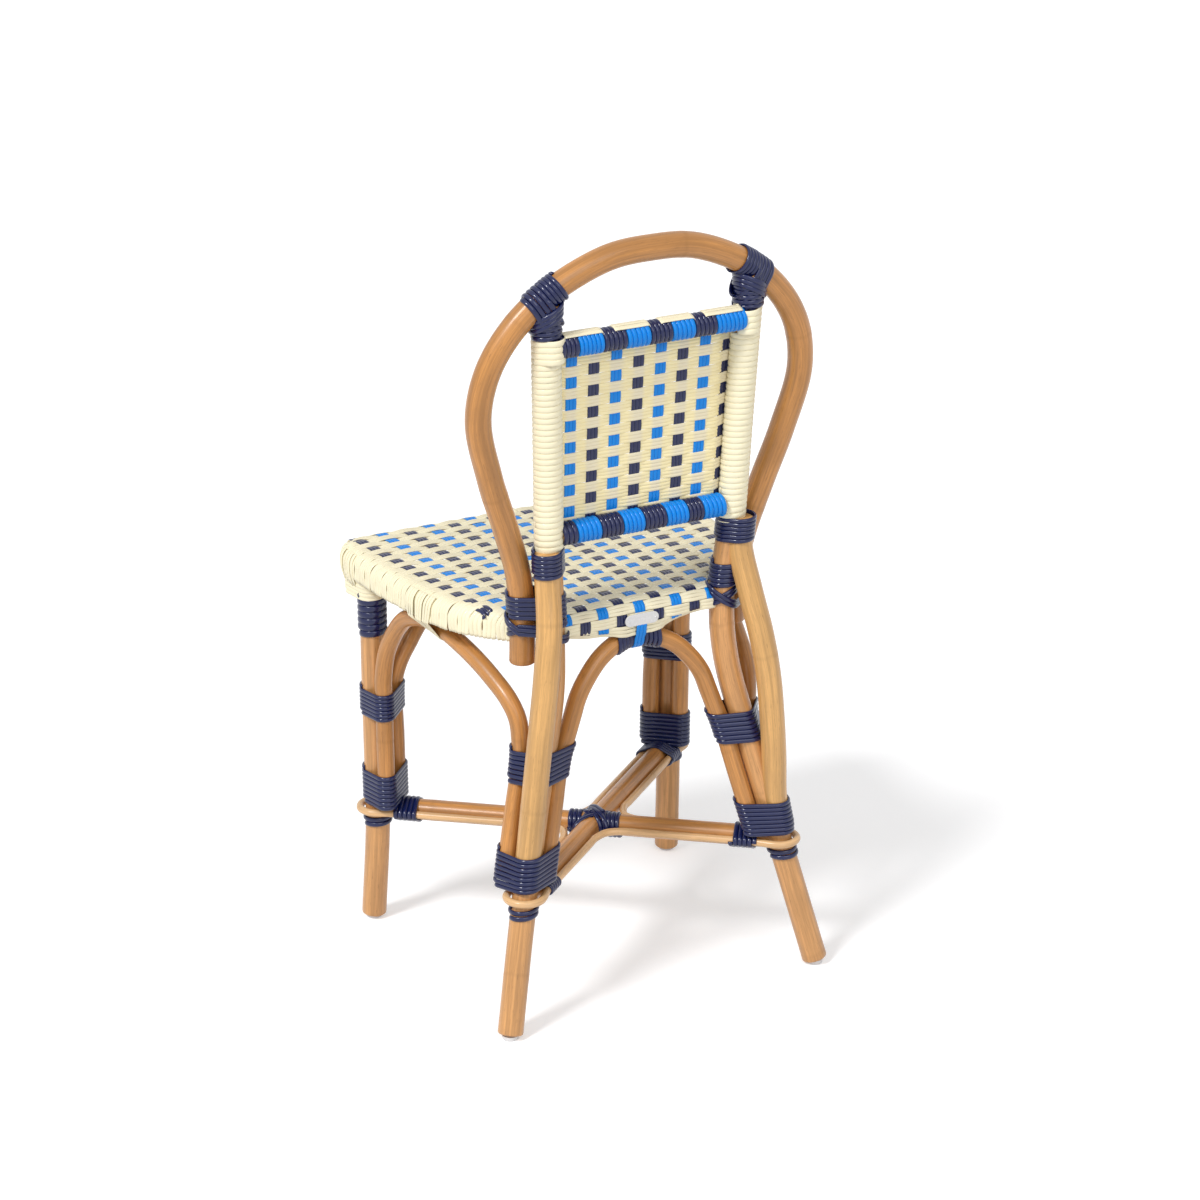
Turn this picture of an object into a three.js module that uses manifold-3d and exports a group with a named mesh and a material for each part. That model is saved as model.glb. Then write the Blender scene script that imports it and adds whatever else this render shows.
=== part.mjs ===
// A rattan bistro side chair: bent and lashed poles, a woven seat and a woven back panel.
// Millimetres. +X is the sitter's left, +Y the back of the chair, +Z up.
import * as THREE from 'three';
import { mergeVertices } from 'three/addons/utils/BufferGeometryUtils.js';
import Module from 'manifold-3d';

const wasm = await Module();
wasm.setup();

// Poles
const poleDiameter = 28;
const archDiameter = 20;
const stretcherDiameter = 24;
const rodDiameter = 8.5;
const frameRailDiameter = 26;
const backRailDiameter = 21;

// Strands and fits
const strandThickness = 2.4;
const strandWidth = 4.6;
const wideStrandWidth = 6.7;
const narrowStrandWidth = 3.6;
const strandGap = 0.8;
const wrapThickness = 1.5;
const clearance = 0.3;
const overrun = 6;

// Stance: feet, back posts at seat height, and the hoop
const footHalfWidth = 194;
const rearFootDepth = 344;
const frontLegInset = 3.9;
const frontLegSetBack = 9.5;
const postHalfWidth = 104.5;
const postDepth = 275;
const postTopHalfWidth = 121.8;
const postTopDrop = 44;
const hoopRise = 398;
const hoopHalfWidth = 193.5;
const hoopTopDepth = 300;
const hoopFootAside = 25.5;
const hoopFootForward = 20;
const hoopEndDrop = 56;

// Seat
const seatHeight = 452;
const seatDrop = 34;
const seatHalfWidth = 212;
const seatFrontReach = 52;
const seatRearReach = 7;
const seatCornerRadius = 31;
const seatEdgeRound = 7;
const weaveThickness = 2.8;

// Back
const topRailDrop = 91;
const topRailSetBack = 8;
const backGap = 95;
const bottomRailSetBack = 3;
const panelThickness = 4;
const panelSetForward = 2;
const sleeveBottomReach = 12;
const sleeveTopReach = 9;

// Stretcher and its loops of thin rod
const stretcherFrontHeight = 142;
const stretcherRearHeight = 150;
const rodBendRadius = 30;
const rodRingGap = 2;
const rodJointReach = 39;
const rodLaneReach = 27;

// Arches under the seat
const archBendShare = 0.5365;
const sideCrownDepth = 125;
const sideCrownInset = 21.9;
const crownFlatHalfLength = 31;

// Braces behind the rear legs
const braceBottomHeight = 170;
const braceMidReach = 47;

// Lashings: how far each band starts from what it ties, and how high or long it is
const frontTopBandDrop = 2.7;
const frontTopBandHeight = 41;
const frontMidBandDrop = 31;
const frontMidBandHeight = 32;
const rearMidBandDrop = 21;
const rearMidBandHeight = 36;
const lowerBandHeight = 33;
const hoopEndBandReach = 58;
const hoopEndBandHeight = 26;
const postFootBandDrop = 2;
const postFootBandHeight = 30;
const stretcherBandStart = 28;
const stretcherBandLength = 24;
const centreBandLength = 30;
const hoopJointBandLength = 36;
const archBandLength = 24;
const rearArchBandLength = 42;

// Corner collars under the seat
const collarHeight = 21;
const collarReachForward = 30;
const collarReachOut = 6;
const collarNoseRadius = 12;

// Small hardware
const glideHeight = 5;
const glideRadius = 9;
const glideRound = 1.5;
const plateLength = 41;
const plateHeight = 13;
const plateThickness = 1.2;
const plateDrop = 20.5;

// Counts and angles
const poleSides = 10;
const archSides = 8;
const rodSides = 5;
const stopAngle = Math.PI / 4;

// Sizes that follow from the ones above
const poleRadius = poleDiameter / 2;
const archRadius = archDiameter / 2;
const stretcherRadius = stretcherDiameter / 2;
const rodRadius = rodDiameter / 2;
const frameRailRadius = frameRailDiameter / 2;
const backRailRadius = backRailDiameter / 2;
const sleeveRadius = poleRadius + clearance + wrapThickness;
const wrapRadius = backRailRadius + clearance + strandThickness;
const skinReach = frameRailRadius + clearance + weaveThickness;
const frameHalfWidth = seatHalfWidth - skinReach;
const frameRailHeight = seatHeight - skinReach;
const trayBottomHeight = seatHeight - seatDrop;
const seatRearDepth = postDepth + seatRearReach;
const frontLegHalfWidth = frameHalfWidth - frontLegInset;
const hoopHeight = seatHeight + hoopRise;
const postTopHeight = hoopHeight - postTopDrop;
const hoopFootHalfWidth = postHalfWidth + hoopFootAside;
const hoopFootDepth = postDepth - hoopFootForward;
const hoopEndHeight = seatHeight - hoopEndDrop;
const topRailHeight = hoopHeight - topRailDrop;
const bottomRailHeight = seatHeight + backGap;
const sleeveBottomHeight = bottomRailHeight - sleeveBottomReach;
const sleeveTopHeight = topRailHeight + sleeveTopReach;
const postFootBandHigh = sleeveBottomHeight - postFootBandDrop;
const postFootBandLow = postFootBandHigh - postFootBandHeight;
const braceTopHeight = postFootBandHigh - postFootBandDrop;
const frontTopBandHigh = trayBottomHeight - clearance - collarHeight - frontTopBandDrop;
const frontTopBandLow = frontTopBandHigh - frontTopBandHeight;
const hoopEndBandLow = hoopEndHeight + hoopEndBandReach;
const hoopEndBandHigh = hoopEndBandLow + hoopEndBandHeight;
const archCrownHeight = trayBottomHeight - 2 * clearance - archRadius;
const strandReach = clearance + strandThickness / 2;
const bandSpace = bandedRadius(stretcherRadius) + clearance;
const bandRadius = bandedRadius(poleRadius) + clearance;
const frontArchFoot = stretcherFrontHeight + bandSpace;
const rearArchFoot = stretcherRearHeight + bandSpace;
const archBendHeight = frontArchFoot + archBendShare * (archCrownHeight - frontArchFoot);
const frontMidBandLow = archBendHeight - frontMidBandDrop;
const frontMidBandHigh = frontMidBandLow + frontMidBandHeight;
const rearMidBandLow = archBendHeight - rearMidBandDrop;
const rearMidBandHigh = rearMidBandLow + rearMidBandHeight;

const honey = new THREE.MeshStandardMaterial({ color: 0xc8935a, roughness: 0.42, metalness: 0 });
const chestnut = new THREE.MeshStandardMaterial({ color: 0xb07440, roughness: 0.4, metalness: 0 });
const straw = new THREE.MeshStandardMaterial({ color: 0xd9b27a, roughness: 0.48, metalness: 0 });
const cream = new THREE.MeshStandardMaterial({ color: 0xece0b8, roughness: 0.45, metalness: 0 });
const navy = new THREE.MeshStandardMaterial({ color: 0x1c2142, roughness: 0.25, metalness: 0 });
const blue = new THREE.MeshStandardMaterial({ color: 0x2b7fd0, roughness: 0.35, metalness: 0 });
const white = new THREE.MeshStandardMaterial({ color: 0xf2f2ee, roughness: 0.35, metalness: 0 });

const chair = new THREE.Group();
const strandGaps = [];

// The radius of a pole with a lashing on it.
function bandedRadius(radius) {
  return (radius + strandReach) / Math.cos(stopAngle / 2) + strandThickness / 2 + clearance;
}

// Adds one named piece to the chair.
function addPiece(name, geometry, material) {
  const mesh = new THREE.Mesh(geometry, material.clone());
  mesh.name = name;
  chair.add(mesh);
  return mesh;
}

// Turns a closed geometry into a solid for cutting.
function toSolid(geometry) {
  const bare = geometry.clone();
  bare.deleteAttribute('normal');
  bare.deleteAttribute('uv');
  const merged = mergeVertices(bare, clearance / 1000);
  return new wasm.Manifold(new wasm.Mesh({
    numProp: 3,
    vertProperties: new Float32Array(merged.attributes.position.array),
    triVerts: new Uint32Array(merged.index.array),
  }));
}

// Turns a solid back into a geometry.
function toGeometry(solid) {
  const mesh = solid.getMesh();
  const geometry = new THREE.BufferGeometry();
  const positions = new Float32Array(mesh.numVert * 3);
  for (let i = 0; i < mesh.numVert; i += 1) {
    for (let k = 0; k < 3; k += 1) {
      positions[3 * i + k] = mesh.vertProperties[mesh.numProp * i + k];
    }
  }
  geometry.setAttribute('position', new THREE.BufferAttribute(positions, 3));
  geometry.setIndex(new THREE.BufferAttribute(new Uint32Array(mesh.triVerts), 1));
  return geometry;
}

// Cuts any number of closed geometries from one.
function cut(geometry, ...tools) {
  let solid = toSolid(geometry);
  for (const tool of tools) {
    solid = solid.subtract(toSolid(tool));
  }
  return toGeometry(solid);
}

function ringPoints(radius, sides) {
  return Array.from({ length: sides }, (_, i) => {
    const angle = (2 * Math.PI * i) / sides;
    return new THREE.Vector2(radius * Math.cos(angle), radius * Math.sin(angle));
  });
}

// The radius of a many-sided cutter that clears a round of the given radius all the way.
function around(radius) {
  return radius / Math.cos(Math.PI / poleSides);
}

// A round pole along a curve.
function pole(curve, radius, steps, sides = poleSides) {
  return new THREE.ExtrudeGeometry(new THREE.Shape(ringPoints(radius, sides)), {
    steps, bevelEnabled: false, extrudePath: curve,
  });
}

function smoothCurve(points) {
  return new THREE.CatmullRomCurve3(points, false, 'centripetal');
}

function flipped(point) {
  return new THREE.Vector3(-point.x, point.y, point.z);
}

// The mirror image of a curve in the chair's middle plane.
function mirrored(curve) {
  return smoothCurve(curve.points.map(flipped));
}

// A curve that runs up to a middle point and back down its mirror image.
function symmetricCurve(half, middle) {
  return smoothCurve([...half, middle, ...half.slice().reverse().map(flipped)]);
}

// Places rows of [x, y, z] shares on the way from one corner of a box to the other.
function sharesToPoints(shares, from, to) {
  return shares.map(([x, y, z]) => new THREE.Vector3(
    from.x + x * (to.x - from.x), from.y + y * (to.y - from.y), from.z + z * (to.z - from.z)));
}

// How far up a rising curve a height is reached.
function shareAtHeight(curve, height) {
  let low = 0;
  let high = 1;
  for (let i = 0; i < 30; i += 1) {
    const middle = (low + high) / 2;
    if (curve.getPoint(middle).z < height) {
      low = middle;
    } else {
      high = middle;
    }
  }
  return (low + high) / 2;
}

// The point of a rising curve at a height.
function atHeight(curve, height) {
  return curve.getPoint(shareAtHeight(curve, height));
}

// The stretch of a rising curve between two heights.
function between(curve, low, high) {
  const parts = 6;
  return smoothCurve(Array.from({ length: parts + 1 }, (_, i) => (
    atHeight(curve, low + ((high - low) * i) / parts))));
}

// A block that trims whatever reaches below a height.
function blockBelow(height) {
  const reach = 4 * footHalfWidth;
  const box = new THREE.BoxGeometry(reach, reach, reach);
  box.translate(0, 0, height - reach / 2);
  return box;
}

// Rear poles: leg, bend under the seat and back post in one piece. Legs run down from the
// post's place at seat height to the foot, and posts run up from there to the hoop
const rearLegShares = [
  [1.000, 1.000, 1.000],
  [0.668, 0.630, 0.713],
  [0.313, 0.293, 0.424],
  [0.040, 0.072, 0.192],
  [0.000, 0.000, 0.048],
];
const postShares = [
  [0.374, 0.256, 0.217],
  [0.632, 0.504, 0.558],
  [1.000, 0.848, 1.000],
];
const postSeat = new THREE.Vector3(postHalfWidth, postDepth, seatHeight);
const rearPole = smoothCurve([
  ...sharesToPoints(rearLegShares, postSeat, new THREE.Vector3(footHalfWidth, rearFootDepth, 0)),
  ...sharesToPoints(postShares, postSeat,
    new THREE.Vector3(postTopHalfWidth, hoopTopDepth, postTopHeight)),
]);

// Front legs: nearly upright, with the foot turned out a little
const frontLegShares = [
  [1.010, 0.000, 0.000],
  [0.992, 0.950, 0.295],
  [0.995, 1.000, 0.475],
  [1.000, 1.000, 0.710],
  [1.000, 1.000, 1.000],
];
const frontLegTop = frameRailHeight - frameRailRadius - clearance;
const frontLeg = smoothCurve(sharesToPoints(frontLegShares, new THREE.Vector3(),
  new THREE.Vector3(frontLegHalfWidth, frontLegSetBack, frontLegTop)));

// Hoop: one bent pole round the back. Its side rises from the foot beside the post to the
// widest place, and its crown closes from there to the middle
const hoopSideShares = [
  [0.000, 0.000, -0.029],
  [0.126, 0.167, 0.120],
  [0.424, 0.313, 0.272],
  [0.747, 0.453, 0.421],
  [1.000, 0.620, 0.598],
];
const hoopCrownShares = [
  [0.929, 0.753, 0.748],
  [0.690, 0.867, 0.887],
  [0.290, 0.967, 0.985],
];
const hoopFoot = new THREE.Vector3(hoopFootHalfWidth, hoopFootDepth, seatHeight);
const hoopReach = new THREE.Vector3(hoopHalfWidth, hoopTopDepth, hoopHeight);
const hoopSide = [
  new THREE.Vector3(hoopFootHalfWidth, hoopFootDepth, hoopEndHeight),
  ...sharesToPoints(hoopSideShares, hoopFoot, hoopReach),
  ...sharesToPoints(hoopCrownShares, new THREE.Vector3(0, hoopFootDepth, seatHeight), hoopReach),
];
const hoop = symmetricCurve(hoopSide, new THREE.Vector3(0, hoopTopDepth, hoopHeight));
const hoopSteps = 36;
const rearPoleSteps = 18;
const archSteps = 25;
const frameSteps = 40;
const frontLegSteps = 8;

// Space that a hoop, post or leg takes, grown by a margin, for neighbours to be cut by
function poleSpace(curve, margin) {
  return pole(curve, poleRadius + margin, curve === hoop ? hoopSteps : rearPoleSteps);
}
const leftRight = [['left', rearPole, frontLeg], ['right', mirrored(rearPole), mirrored(frontLeg)]];

function addPoles() {
  for (const [side, rear, front] of leftRight) {
    const rearSolid = cut(poleSpace(rear, 0), blockBelow(glideHeight), hoopJointSpace());
    addPiece(`rear_pole_${side}`, rearSolid, honey);
    const frontSolid = cut(pole(front, poleRadius, frontLegSteps), blockBelow(glideHeight));
    addPiece(`front_leg_${side}`, frontSolid, honey);
  }
  addPiece('hoop', poleSpace(hoop, 0), chestnut);
}

// Seat frame: one pole bent round the front and both sides, as seen from above
const frameFront = skinReach - seatFrontReach;
const rearRailDepth = seatRearDepth - skinReach;
const frameCornerRadius = seatCornerRadius - skinReach;
const frameSideShares = [
  [-0.047, 0.914],
  [0.061, 0.887],
  [0.301, 0.820],
  [0.530, 0.744],
  [0.727, 0.624],
  [0.863, 0.414],
  [0.955, 0.226],
  [1.000, 0.038],
];
const frameCornerShares = [0, 0.25, 0.5];
const frameFrontShares = [0.9, 0.45];
const seatFrame = symmetricCurve([
  ...frameSideShares.map(([x, y]) => new THREE.Vector3(
    hoopFootHalfWidth + x * (frameHalfWidth - hoopFootHalfWidth),
    y * rearRailDepth,
    frameRailHeight)),
  ...frameCornerShares.map((turn) => new THREE.Vector3(
    frameHalfWidth - frameCornerRadius * (1 - Math.cos(turn * Math.PI)),
    frameFront + frameCornerRadius * (1 - Math.sin(turn * Math.PI)),
    frameRailHeight)),
  ...frameFrontShares.map((share) => new THREE.Vector3(
    share * (frameHalfWidth - frameCornerRadius), frameFront, frameRailHeight)),
], new THREE.Vector3(0, frameFront, frameRailHeight));

function addSeatFrame() {
  const frame = cut(pole(seatFrame, frameRailRadius, frameSteps, archSides), poleSpace(hoop, clearance));
  addPiece('seat_frame', frame, straw);
  const post = atHeight(rearPole, frameRailHeight);
  const reach = post.x - poleRadius / 2;
  const rail = pole(new THREE.LineCurve3(
    new THREE.Vector3(reach, rearRailDepth, frameRailHeight),
    new THREE.Vector3(-reach, rearRailDepth, frameRailHeight)), frameRailRadius, 1);
  const posts = leftRight.map(([, rear]) => poleSpace(rear, clearance));
  addPiece('seat_rear_rail', cut(rail, ...posts), straw);
}

// The seat's outline seen from above, at a distance out from the frame pole's axis.
function seatOutline(reach, rearDepth) {
  const points = [];
  for (let i = 0; i <= frameSteps; i += 1) {
    const p = seatFrame.getPointAt(i / frameSteps);
    const along = seatFrame.getTangentAt(i / frameSteps);
    points.push(new THREE.Vector2(p.x - along.y * reach, p.y + along.x * reach));
  }
  const corner = atHeight(rearPole, frameRailHeight).x;
  points.push(new THREE.Vector2(-corner, rearDepth), new THREE.Vector2(corner, rearDepth));
  return new THREE.Shape(points);
}

// Woven seat: a thin top with its edges turned down over the frame
function addSeatWeave() {
  const outline = seatOutline(skinReach - seatEdgeRound, seatRearDepth - seatEdgeRound);
  const body = new THREE.ExtrudeGeometry(outline, {
    depth: seatDrop - 2 * seatEdgeRound,
    bevelSize: seatEdgeRound,
    bevelThickness: seatEdgeRound,
    bevelSegments: 2,
  });
  body.translate(0, 0, trayBottomHeight + seatEdgeRound);
  const room = frameRailRadius + clearance;
  const hollow = new THREE.ExtrudeGeometry(seatOutline(room, rearRailDepth + room), {
    depth: seatDrop - weaveThickness + overrun, bevelEnabled: false,
  });
  hollow.translate(0, 0, trayBottomHeight - overrun);
  const margin = around(bandRadius) - poleRadius;
  const posts = [hoop, ...leftRight.map(([, rear]) => rear)].map((c) => poleSpace(c, margin));
  addPiece('seat_weave', cut(body, hollow, ...posts), cream);
}

// Points where the stretchers and rings meet the legs
const frontRing = atHeight(frontLeg, stretcherFrontHeight);
const rearRing = atHeight(rearPole, stretcherRearHeight);

// Arches: rows of [run, rise], the shares of the way from leg to crown and of the height
const archContact = poleRadius + archRadius + 4 * clearance;
const sideFrontShares = [[0, 0.138], [0.105, 0.484], [0.462, 0.873], [0.8, 0.98]];
const sideRearShares = [[0, 0.216], [0.033, 0.4], [0.136, 0.553], [0.298, 0.683],
  [0.49, 0.804], [0.713, 0.907]];
const endShares = [[0.043, 0.179], [0.13, 0.357], [0.237, 0.545], [0.367, 0.714],
  [0.542, 0.866], [0.77, 0.965]];
const rearEndShares = [[0.08, 0.179], [0.155, 0.357], ...endShares.slice(2)];
const turnBack = Math.PI / 2;
const turnInward = Math.PI;
const turnOutFront = -0.265 * Math.PI;
const turnInBack = 1.062 * Math.PI;

// The axis of an arch's foot beside a leg, at a height.
function besideLeg(leg, turn, height) {
  const p = atHeight(leg, height);
  return new THREE.Vector3(
    p.x + archContact * Math.cos(turn), p.y + archContact * Math.sin(turn), height);
}

// One half of an arch, from its foot up to just short of its crown.
function halfArch(leg, turn, foot, crown, shares) {
  const footShares = [0, 0.5, 1];
  const points = footShares.map((share) => (
    besideLeg(leg, turn, foot + share * (archBendHeight - foot))));
  const bend = points[2];
  for (const [run, rise] of shares) {
    points.push(new THREE.Vector3(
      bend.x + run * (crown.x - bend.x),
      bend.y + run * (crown.y - bend.y),
      bend.z + rise * (crown.z - bend.z)));
  }
  if (crown.x === 0) {
    points.push(new THREE.Vector3(crownFlatHalfLength, crown.y, crown.z));
  }
  return points;
}

const sideCrown = new THREE.Vector3(
  frameHalfWidth - sideCrownInset, sideCrownDepth, archCrownHeight);
const sideFrontHalf = halfArch(frontLeg, turnBack, frontArchFoot, sideCrown, sideFrontShares);
const sideRearHalf = halfArch(rearPole, turnOutFront, rearArchFoot, sideCrown, sideRearShares);
const sideArch = smoothCurve([...sideFrontHalf, sideCrown, ...sideRearHalf.slice().reverse()]);
const frontCrown = new THREE.Vector3(0, frameFront, archCrownHeight);
const frontHalf = halfArch(frontLeg, turnInward, frontArchFoot, frontCrown, endShares);
const frontArch = symmetricCurve(frontHalf, frontCrown);
const rearCrown = new THREE.Vector3(0, rearRailDepth, archCrownHeight);
const rearHalf = halfArch(rearPole, turnInBack, rearArchFoot, rearCrown, rearEndShares);
const rearArch = symmetricCurve(rearHalf, rearCrown);

function addArches() {
  const arches = { side_arch_left: sideArch, side_arch_right: mirrored(sideArch),
    front_arch: frontArch, rear_arch: rearArch };
  for (const [name, curve] of Object.entries(arches)) {
    addPiece(name, pole(curve, archRadius, archSteps, archSides), chestnut);
  }
}

// Braces: shaved at both ends to lie on the rear legs, bowed away from them in between.
// Rows of [rise, out, back]: shares of the brace's height and of its farthest reach
const braceShares = [
  [0.000, 0.09, 0.11],
  [0.083, 0.14, 0.17],
  [0.125, 0.19, 0.24],
  [0.222, 0.32, 0.42],
  [0.360, 0.49, 0.63],
  [0.499, 0.62, 0.79],
  [0.637, 0.58, 0.81],
  [0.776, 0.38, 0.61],
  [0.914, 0.18, 0.23],
  [1.000, 0.16, 0.20],
];
const brace = smoothCurve(braceShares.map(([rise, out, back]) => {
  const p = atHeight(rearPole, braceBottomHeight + rise * (braceTopHeight - braceBottomHeight));
  return new THREE.Vector3(p.x + out * braceMidReach, p.y + back * braceMidReach, p.z);
}));

// A straight round bar or sleeve across the chair, between two X values.
function crossBar(halfLength, radius, bore, depth, height) {
  const sides = 12;
  const shape = new THREE.Shape(ringPoints(radius, sides));
  if (bore > 0) {
    shape.holes.push(new THREE.Path(ringPoints(bore, sides).reverse()));
  }
  const bar = new THREE.ExtrudeGeometry(shape, { depth: 2 * halfLength, bevelEnabled: false });
  bar.translate(0, 0, -halfLength);
  bar.rotateY(Math.PI / 2);
  bar.translate(0, depth, height);
  return bar;
}

function addBackRails() {
  const space = around(sleeveRadius + clearance) - poleRadius;
  const posts = leftRight.map(([, rear]) => poleSpace(rear, space));
  const rails = [
    ['top', topRailHeight, topRailSetBack],
    ['bottom', bottomRailHeight, bottomRailSetBack],
  ];
  for (const [name, height, setBack] of rails) {
    const post = atHeight(rearPole, height);
    const halfLength = post.x - poleRadius / 2;
    const depth = post.y + setBack;
    const core = crossBar(halfLength, backRailRadius, 0, depth, height);
    addPiece(`back_${name}_rail`, cut(core, ...posts), straw);
    const bore = backRailRadius + clearance;
    const wrap = crossBar(halfLength, wrapRadius, bore, depth, height);
    addPiece(`back_${name}_rail_wrap`, cut(wrap, ...posts), blue);
  }
}

// Woven back panel: a thin slab that leans with the posts
function addBackWeave() {
  const low = bottomRailHeight + wrapRadius + clearance;
  const high = topRailHeight - wrapRadius - clearance;
  const parts = 4;
  const start = atHeight(rearPole, low);
  const lean = Math.atan2(atHeight(rearPole, high).y - start.y, high - low);
  const edge = Array.from({ length: parts + 1 }, (_, i) => {
    const height = low + ((high - low) * i) / parts;
    return new THREE.Vector2(
      atHeight(rearPole, height).x - sleeveRadius - clearance, (height - low) / Math.cos(lean));
  });
  const outline = [...edge, ...edge.slice().reverse().map((p) => new THREE.Vector2(-p.x, p.y))];
  const slab = new THREE.ExtrudeGeometry(new THREE.Shape(outline), {
    depth: panelThickness, bevelEnabled: false,
  });
  slab.translate(0, 0, -panelThickness / 2);
  const mesh = addPiece('back_weave', slab, cream);
  mesh.rotation.x = Math.PI / 2 - lean;
  mesh.position.set(0, start.y - panelSetForward, low);
}

// Cream sleeves: the turns of strand round the bare back posts
function addPostWraps() {
  for (const [side, rear] of leftRight) {
    const stretch = between(rear, sleeveBottomHeight, sleeveTopHeight);
    const sleeve = pole(stretch, sleeveRadius, 5, 12);
    addPiece(`post_wrap_${side}`, cut(sleeve, poleSpace(rear, clearance)), cream);
  }
}

// Stretcher: one pole from front left to rear right, and two that meet it
const frontLeftJoint = frontRing;
const frontRightJoint = flipped(frontRing);
const rearLeftJoint = rearRing;
const rearRightJoint = flipped(rearRing);
const crossing = frontLeftJoint.clone().lerp(
  rearRightJoint, frontLeftJoint.x / (frontLeftJoint.x - rearRightJoint.x));

function line(from, to) {
  return new THREE.LineCurve3(from, to);
}

function legSpaces() {
  return leftRight.flatMap(([, rear, front]) => (
    [poleSpace(rear, clearance), pole(front, poleRadius + clearance, frontLegSteps)]));
}

function addStretchers() {
  const legs = legSpaces();
  const through = pole(line(frontLeftJoint, rearRightJoint), stretcherRadius, 1);
  addPiece('stretcher_through', cut(through, ...legs), chestnut);
  const space = pole(line(frontLeftJoint, rearRightJoint), around(bandSpace), 1);
  for (const [name, joint] of [['rear', rearLeftJoint], ['front', frontRightJoint]]) {
    const half = pole(line(joint, crossing), stretcherRadius, 1);
    addPiece(`stretcher_half_${name}`, cut(half, ...legs, space), chestnut);
  }
}

// Foot rods: each loops round one leg, runs in beside its stretcher, and bends out to the next
const rodLane = stretcherRadius + rodRadius + clearance;
const rodRingRadius = poleRadius + rodRingGap + rodRadius;
const ringTurnShares = [0.5, 0.62, 0.8, 1, 1.2, 1.38, 1.5];
const armShares = [0, 0.25, 0.6, 0.9, 1];

// A point beside the line from a leg to the crossing.
function besideLine(joint, reach, aside) {
  const inward = new THREE.Vector3().subVectors(crossing, joint).normalize();
  const across = new THREE.Vector3(-inward.y, inward.x, 0).normalize();
  return joint.clone().addScaledVector(inward, reach).addScaledVector(across, aside);
}

// How wide the way is open between two lines that meet in the crossing.
function openingBetween(joint, nextJoint) {
  const one = new THREE.Vector3().subVectors(joint, crossing);
  return one.angleTo(new THREE.Vector3().subVectors(nextJoint, crossing));
}

function footRod(joint, nextJoint) {
  const inward = new THREE.Vector3().subVectors(crossing, joint);
  const heading = Math.atan2(inward.y, inward.x);
  const half = openingBetween(joint, nextJoint) / 2;
  const bendReach = (rodBendRadius + rodLane) / Math.tan(half);
  const points = [
    besideLine(joint, rodJointReach - clearance, rodLane),
    besideLine(joint, rodLaneReach, rodLane),
  ];
  for (const share of ringTurnShares) {
    const angle = heading + share * Math.PI;
    points.push(new THREE.Vector3(
      joint.x + rodRingRadius * Math.cos(angle),
      joint.y + rodRingRadius * Math.sin(angle),
      joint.z));
  }
  const arm = inward.length() - bendReach - rodLaneReach;
  for (const share of armShares) {
    points.push(besideLine(joint, rodLaneReach + share * arm, -rodLane));
  }
  const outward = besideLine(joint, inward.length() - bendReach, 0)
    .add(besideLine(nextJoint, nextJoint.distanceTo(crossing) - bendReach, 0))
    .divideScalar(2)
    .sub(crossing)
    .normalize();
  const corner = (rodBendRadius + rodLane) / Math.sin(half) - rodBendRadius;
  points.push(crossing.clone().addScaledVector(outward, corner));
  const nextArm = nextJoint.distanceTo(crossing) - bendReach - rodJointReach;
  for (const share of armShares.slice().reverse()) {
    points.push(besideLine(nextJoint, rodJointReach + clearance + share * nextArm, rodLane));
  }
  return smoothCurve(points);
}

function addFootRods() {
  const joints = [frontLeftJoint, rearLeftJoint, rearRightJoint, frontRightJoint];
  const names = ['front_left', 'rear_left', 'rear_right', 'front_right'];
  joints.forEach((joint, i) => {
    const rod = footRod(joint, joints[(i + 1) % joints.length]);
    addPiece(`foot_rod_${names[i]}`, pole(rod, rodRadius, 32, rodSides), straw);
  });
}

// The turns of a strand round a bundle: which member it lies on, and at what angle.
function bundleStops(members) {
  const parts = 360;
  const stops = [];
  let last = null;
  for (let i = 0; i < parts; i += 1) {
    const angle = (2 * Math.PI * i) / parts;
    const reach = members.map((m) => m.x * Math.cos(angle) + m.y * Math.sin(angle) + m.radius);
    const member = reach.indexOf(Math.max(...reach));
    if (last === null || member !== last.member) {
      if (last !== null && last.angle < angle) {
        stops.push({ member: last.member, angle });
      }
      last = { member, angle };
      stops.push(last);
    } else if (angle - last.angle >= stopAngle) {
      last = { member, angle };
      stops.push(last);
    }
  }
  return stops;
}

// A flat strand through a row of places, each with the way out and the way along the bundle.
function strand(places, width) {
  const half = strandThickness / 2;
  const side = width / 2;
  const corners = [[-half, -side], [half, -side], [half, side], [-half, side]];
  const positions = [];
  for (const { centre, out, along } of places) {
    for (const [o, a] of corners) {
      const p = centre.clone().addScaledVector(out, o).addScaledVector(along, a);
      positions.push(p.x, p.y, p.z);
    }
  }
  const index = [0, 1, 2, 0, 2, 3];
  const last = positions.length / 3 - 4;
  for (let base = 0; base < last; base += 4) {
    for (let k = 0; k < 4; k += 1) {
      const a = base + k;
      const b = base + ((k + 1) % 4);
      index.push(a, a + 4, b + 4, a, b + 4, b);
    }
  }
  index.push(last, last + 2, last + 1, last, last + 3, last + 2);
  const geometry = new THREE.BufferGeometry();
  geometry.setAttribute('position', new THREE.BufferAttribute(new Float32Array(positions), 3));
  geometry.setIndex(index);
  return geometry;
}

// The least distance between the strand's edges, a full turn apart.
function leastGap(positions, stopsPerTurn) {
  const p = positions.array;
  const step = 4 * stopsPerTurn;
  let least = Infinity;
  for (let i = 0; i + step < p.length / 3; i += 1) {
    for (let j = i + step - 4; j < Math.min(i + step + 4, p.length / 3); j += 1) {
      least = Math.min(least, Math.hypot(
        p[3 * i] - p[3 * j], p[3 * i + 1] - p[3 * j + 1], p[3 * i + 2] - p[3 * j + 2]));
    }
  }
  return least;
}

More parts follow.
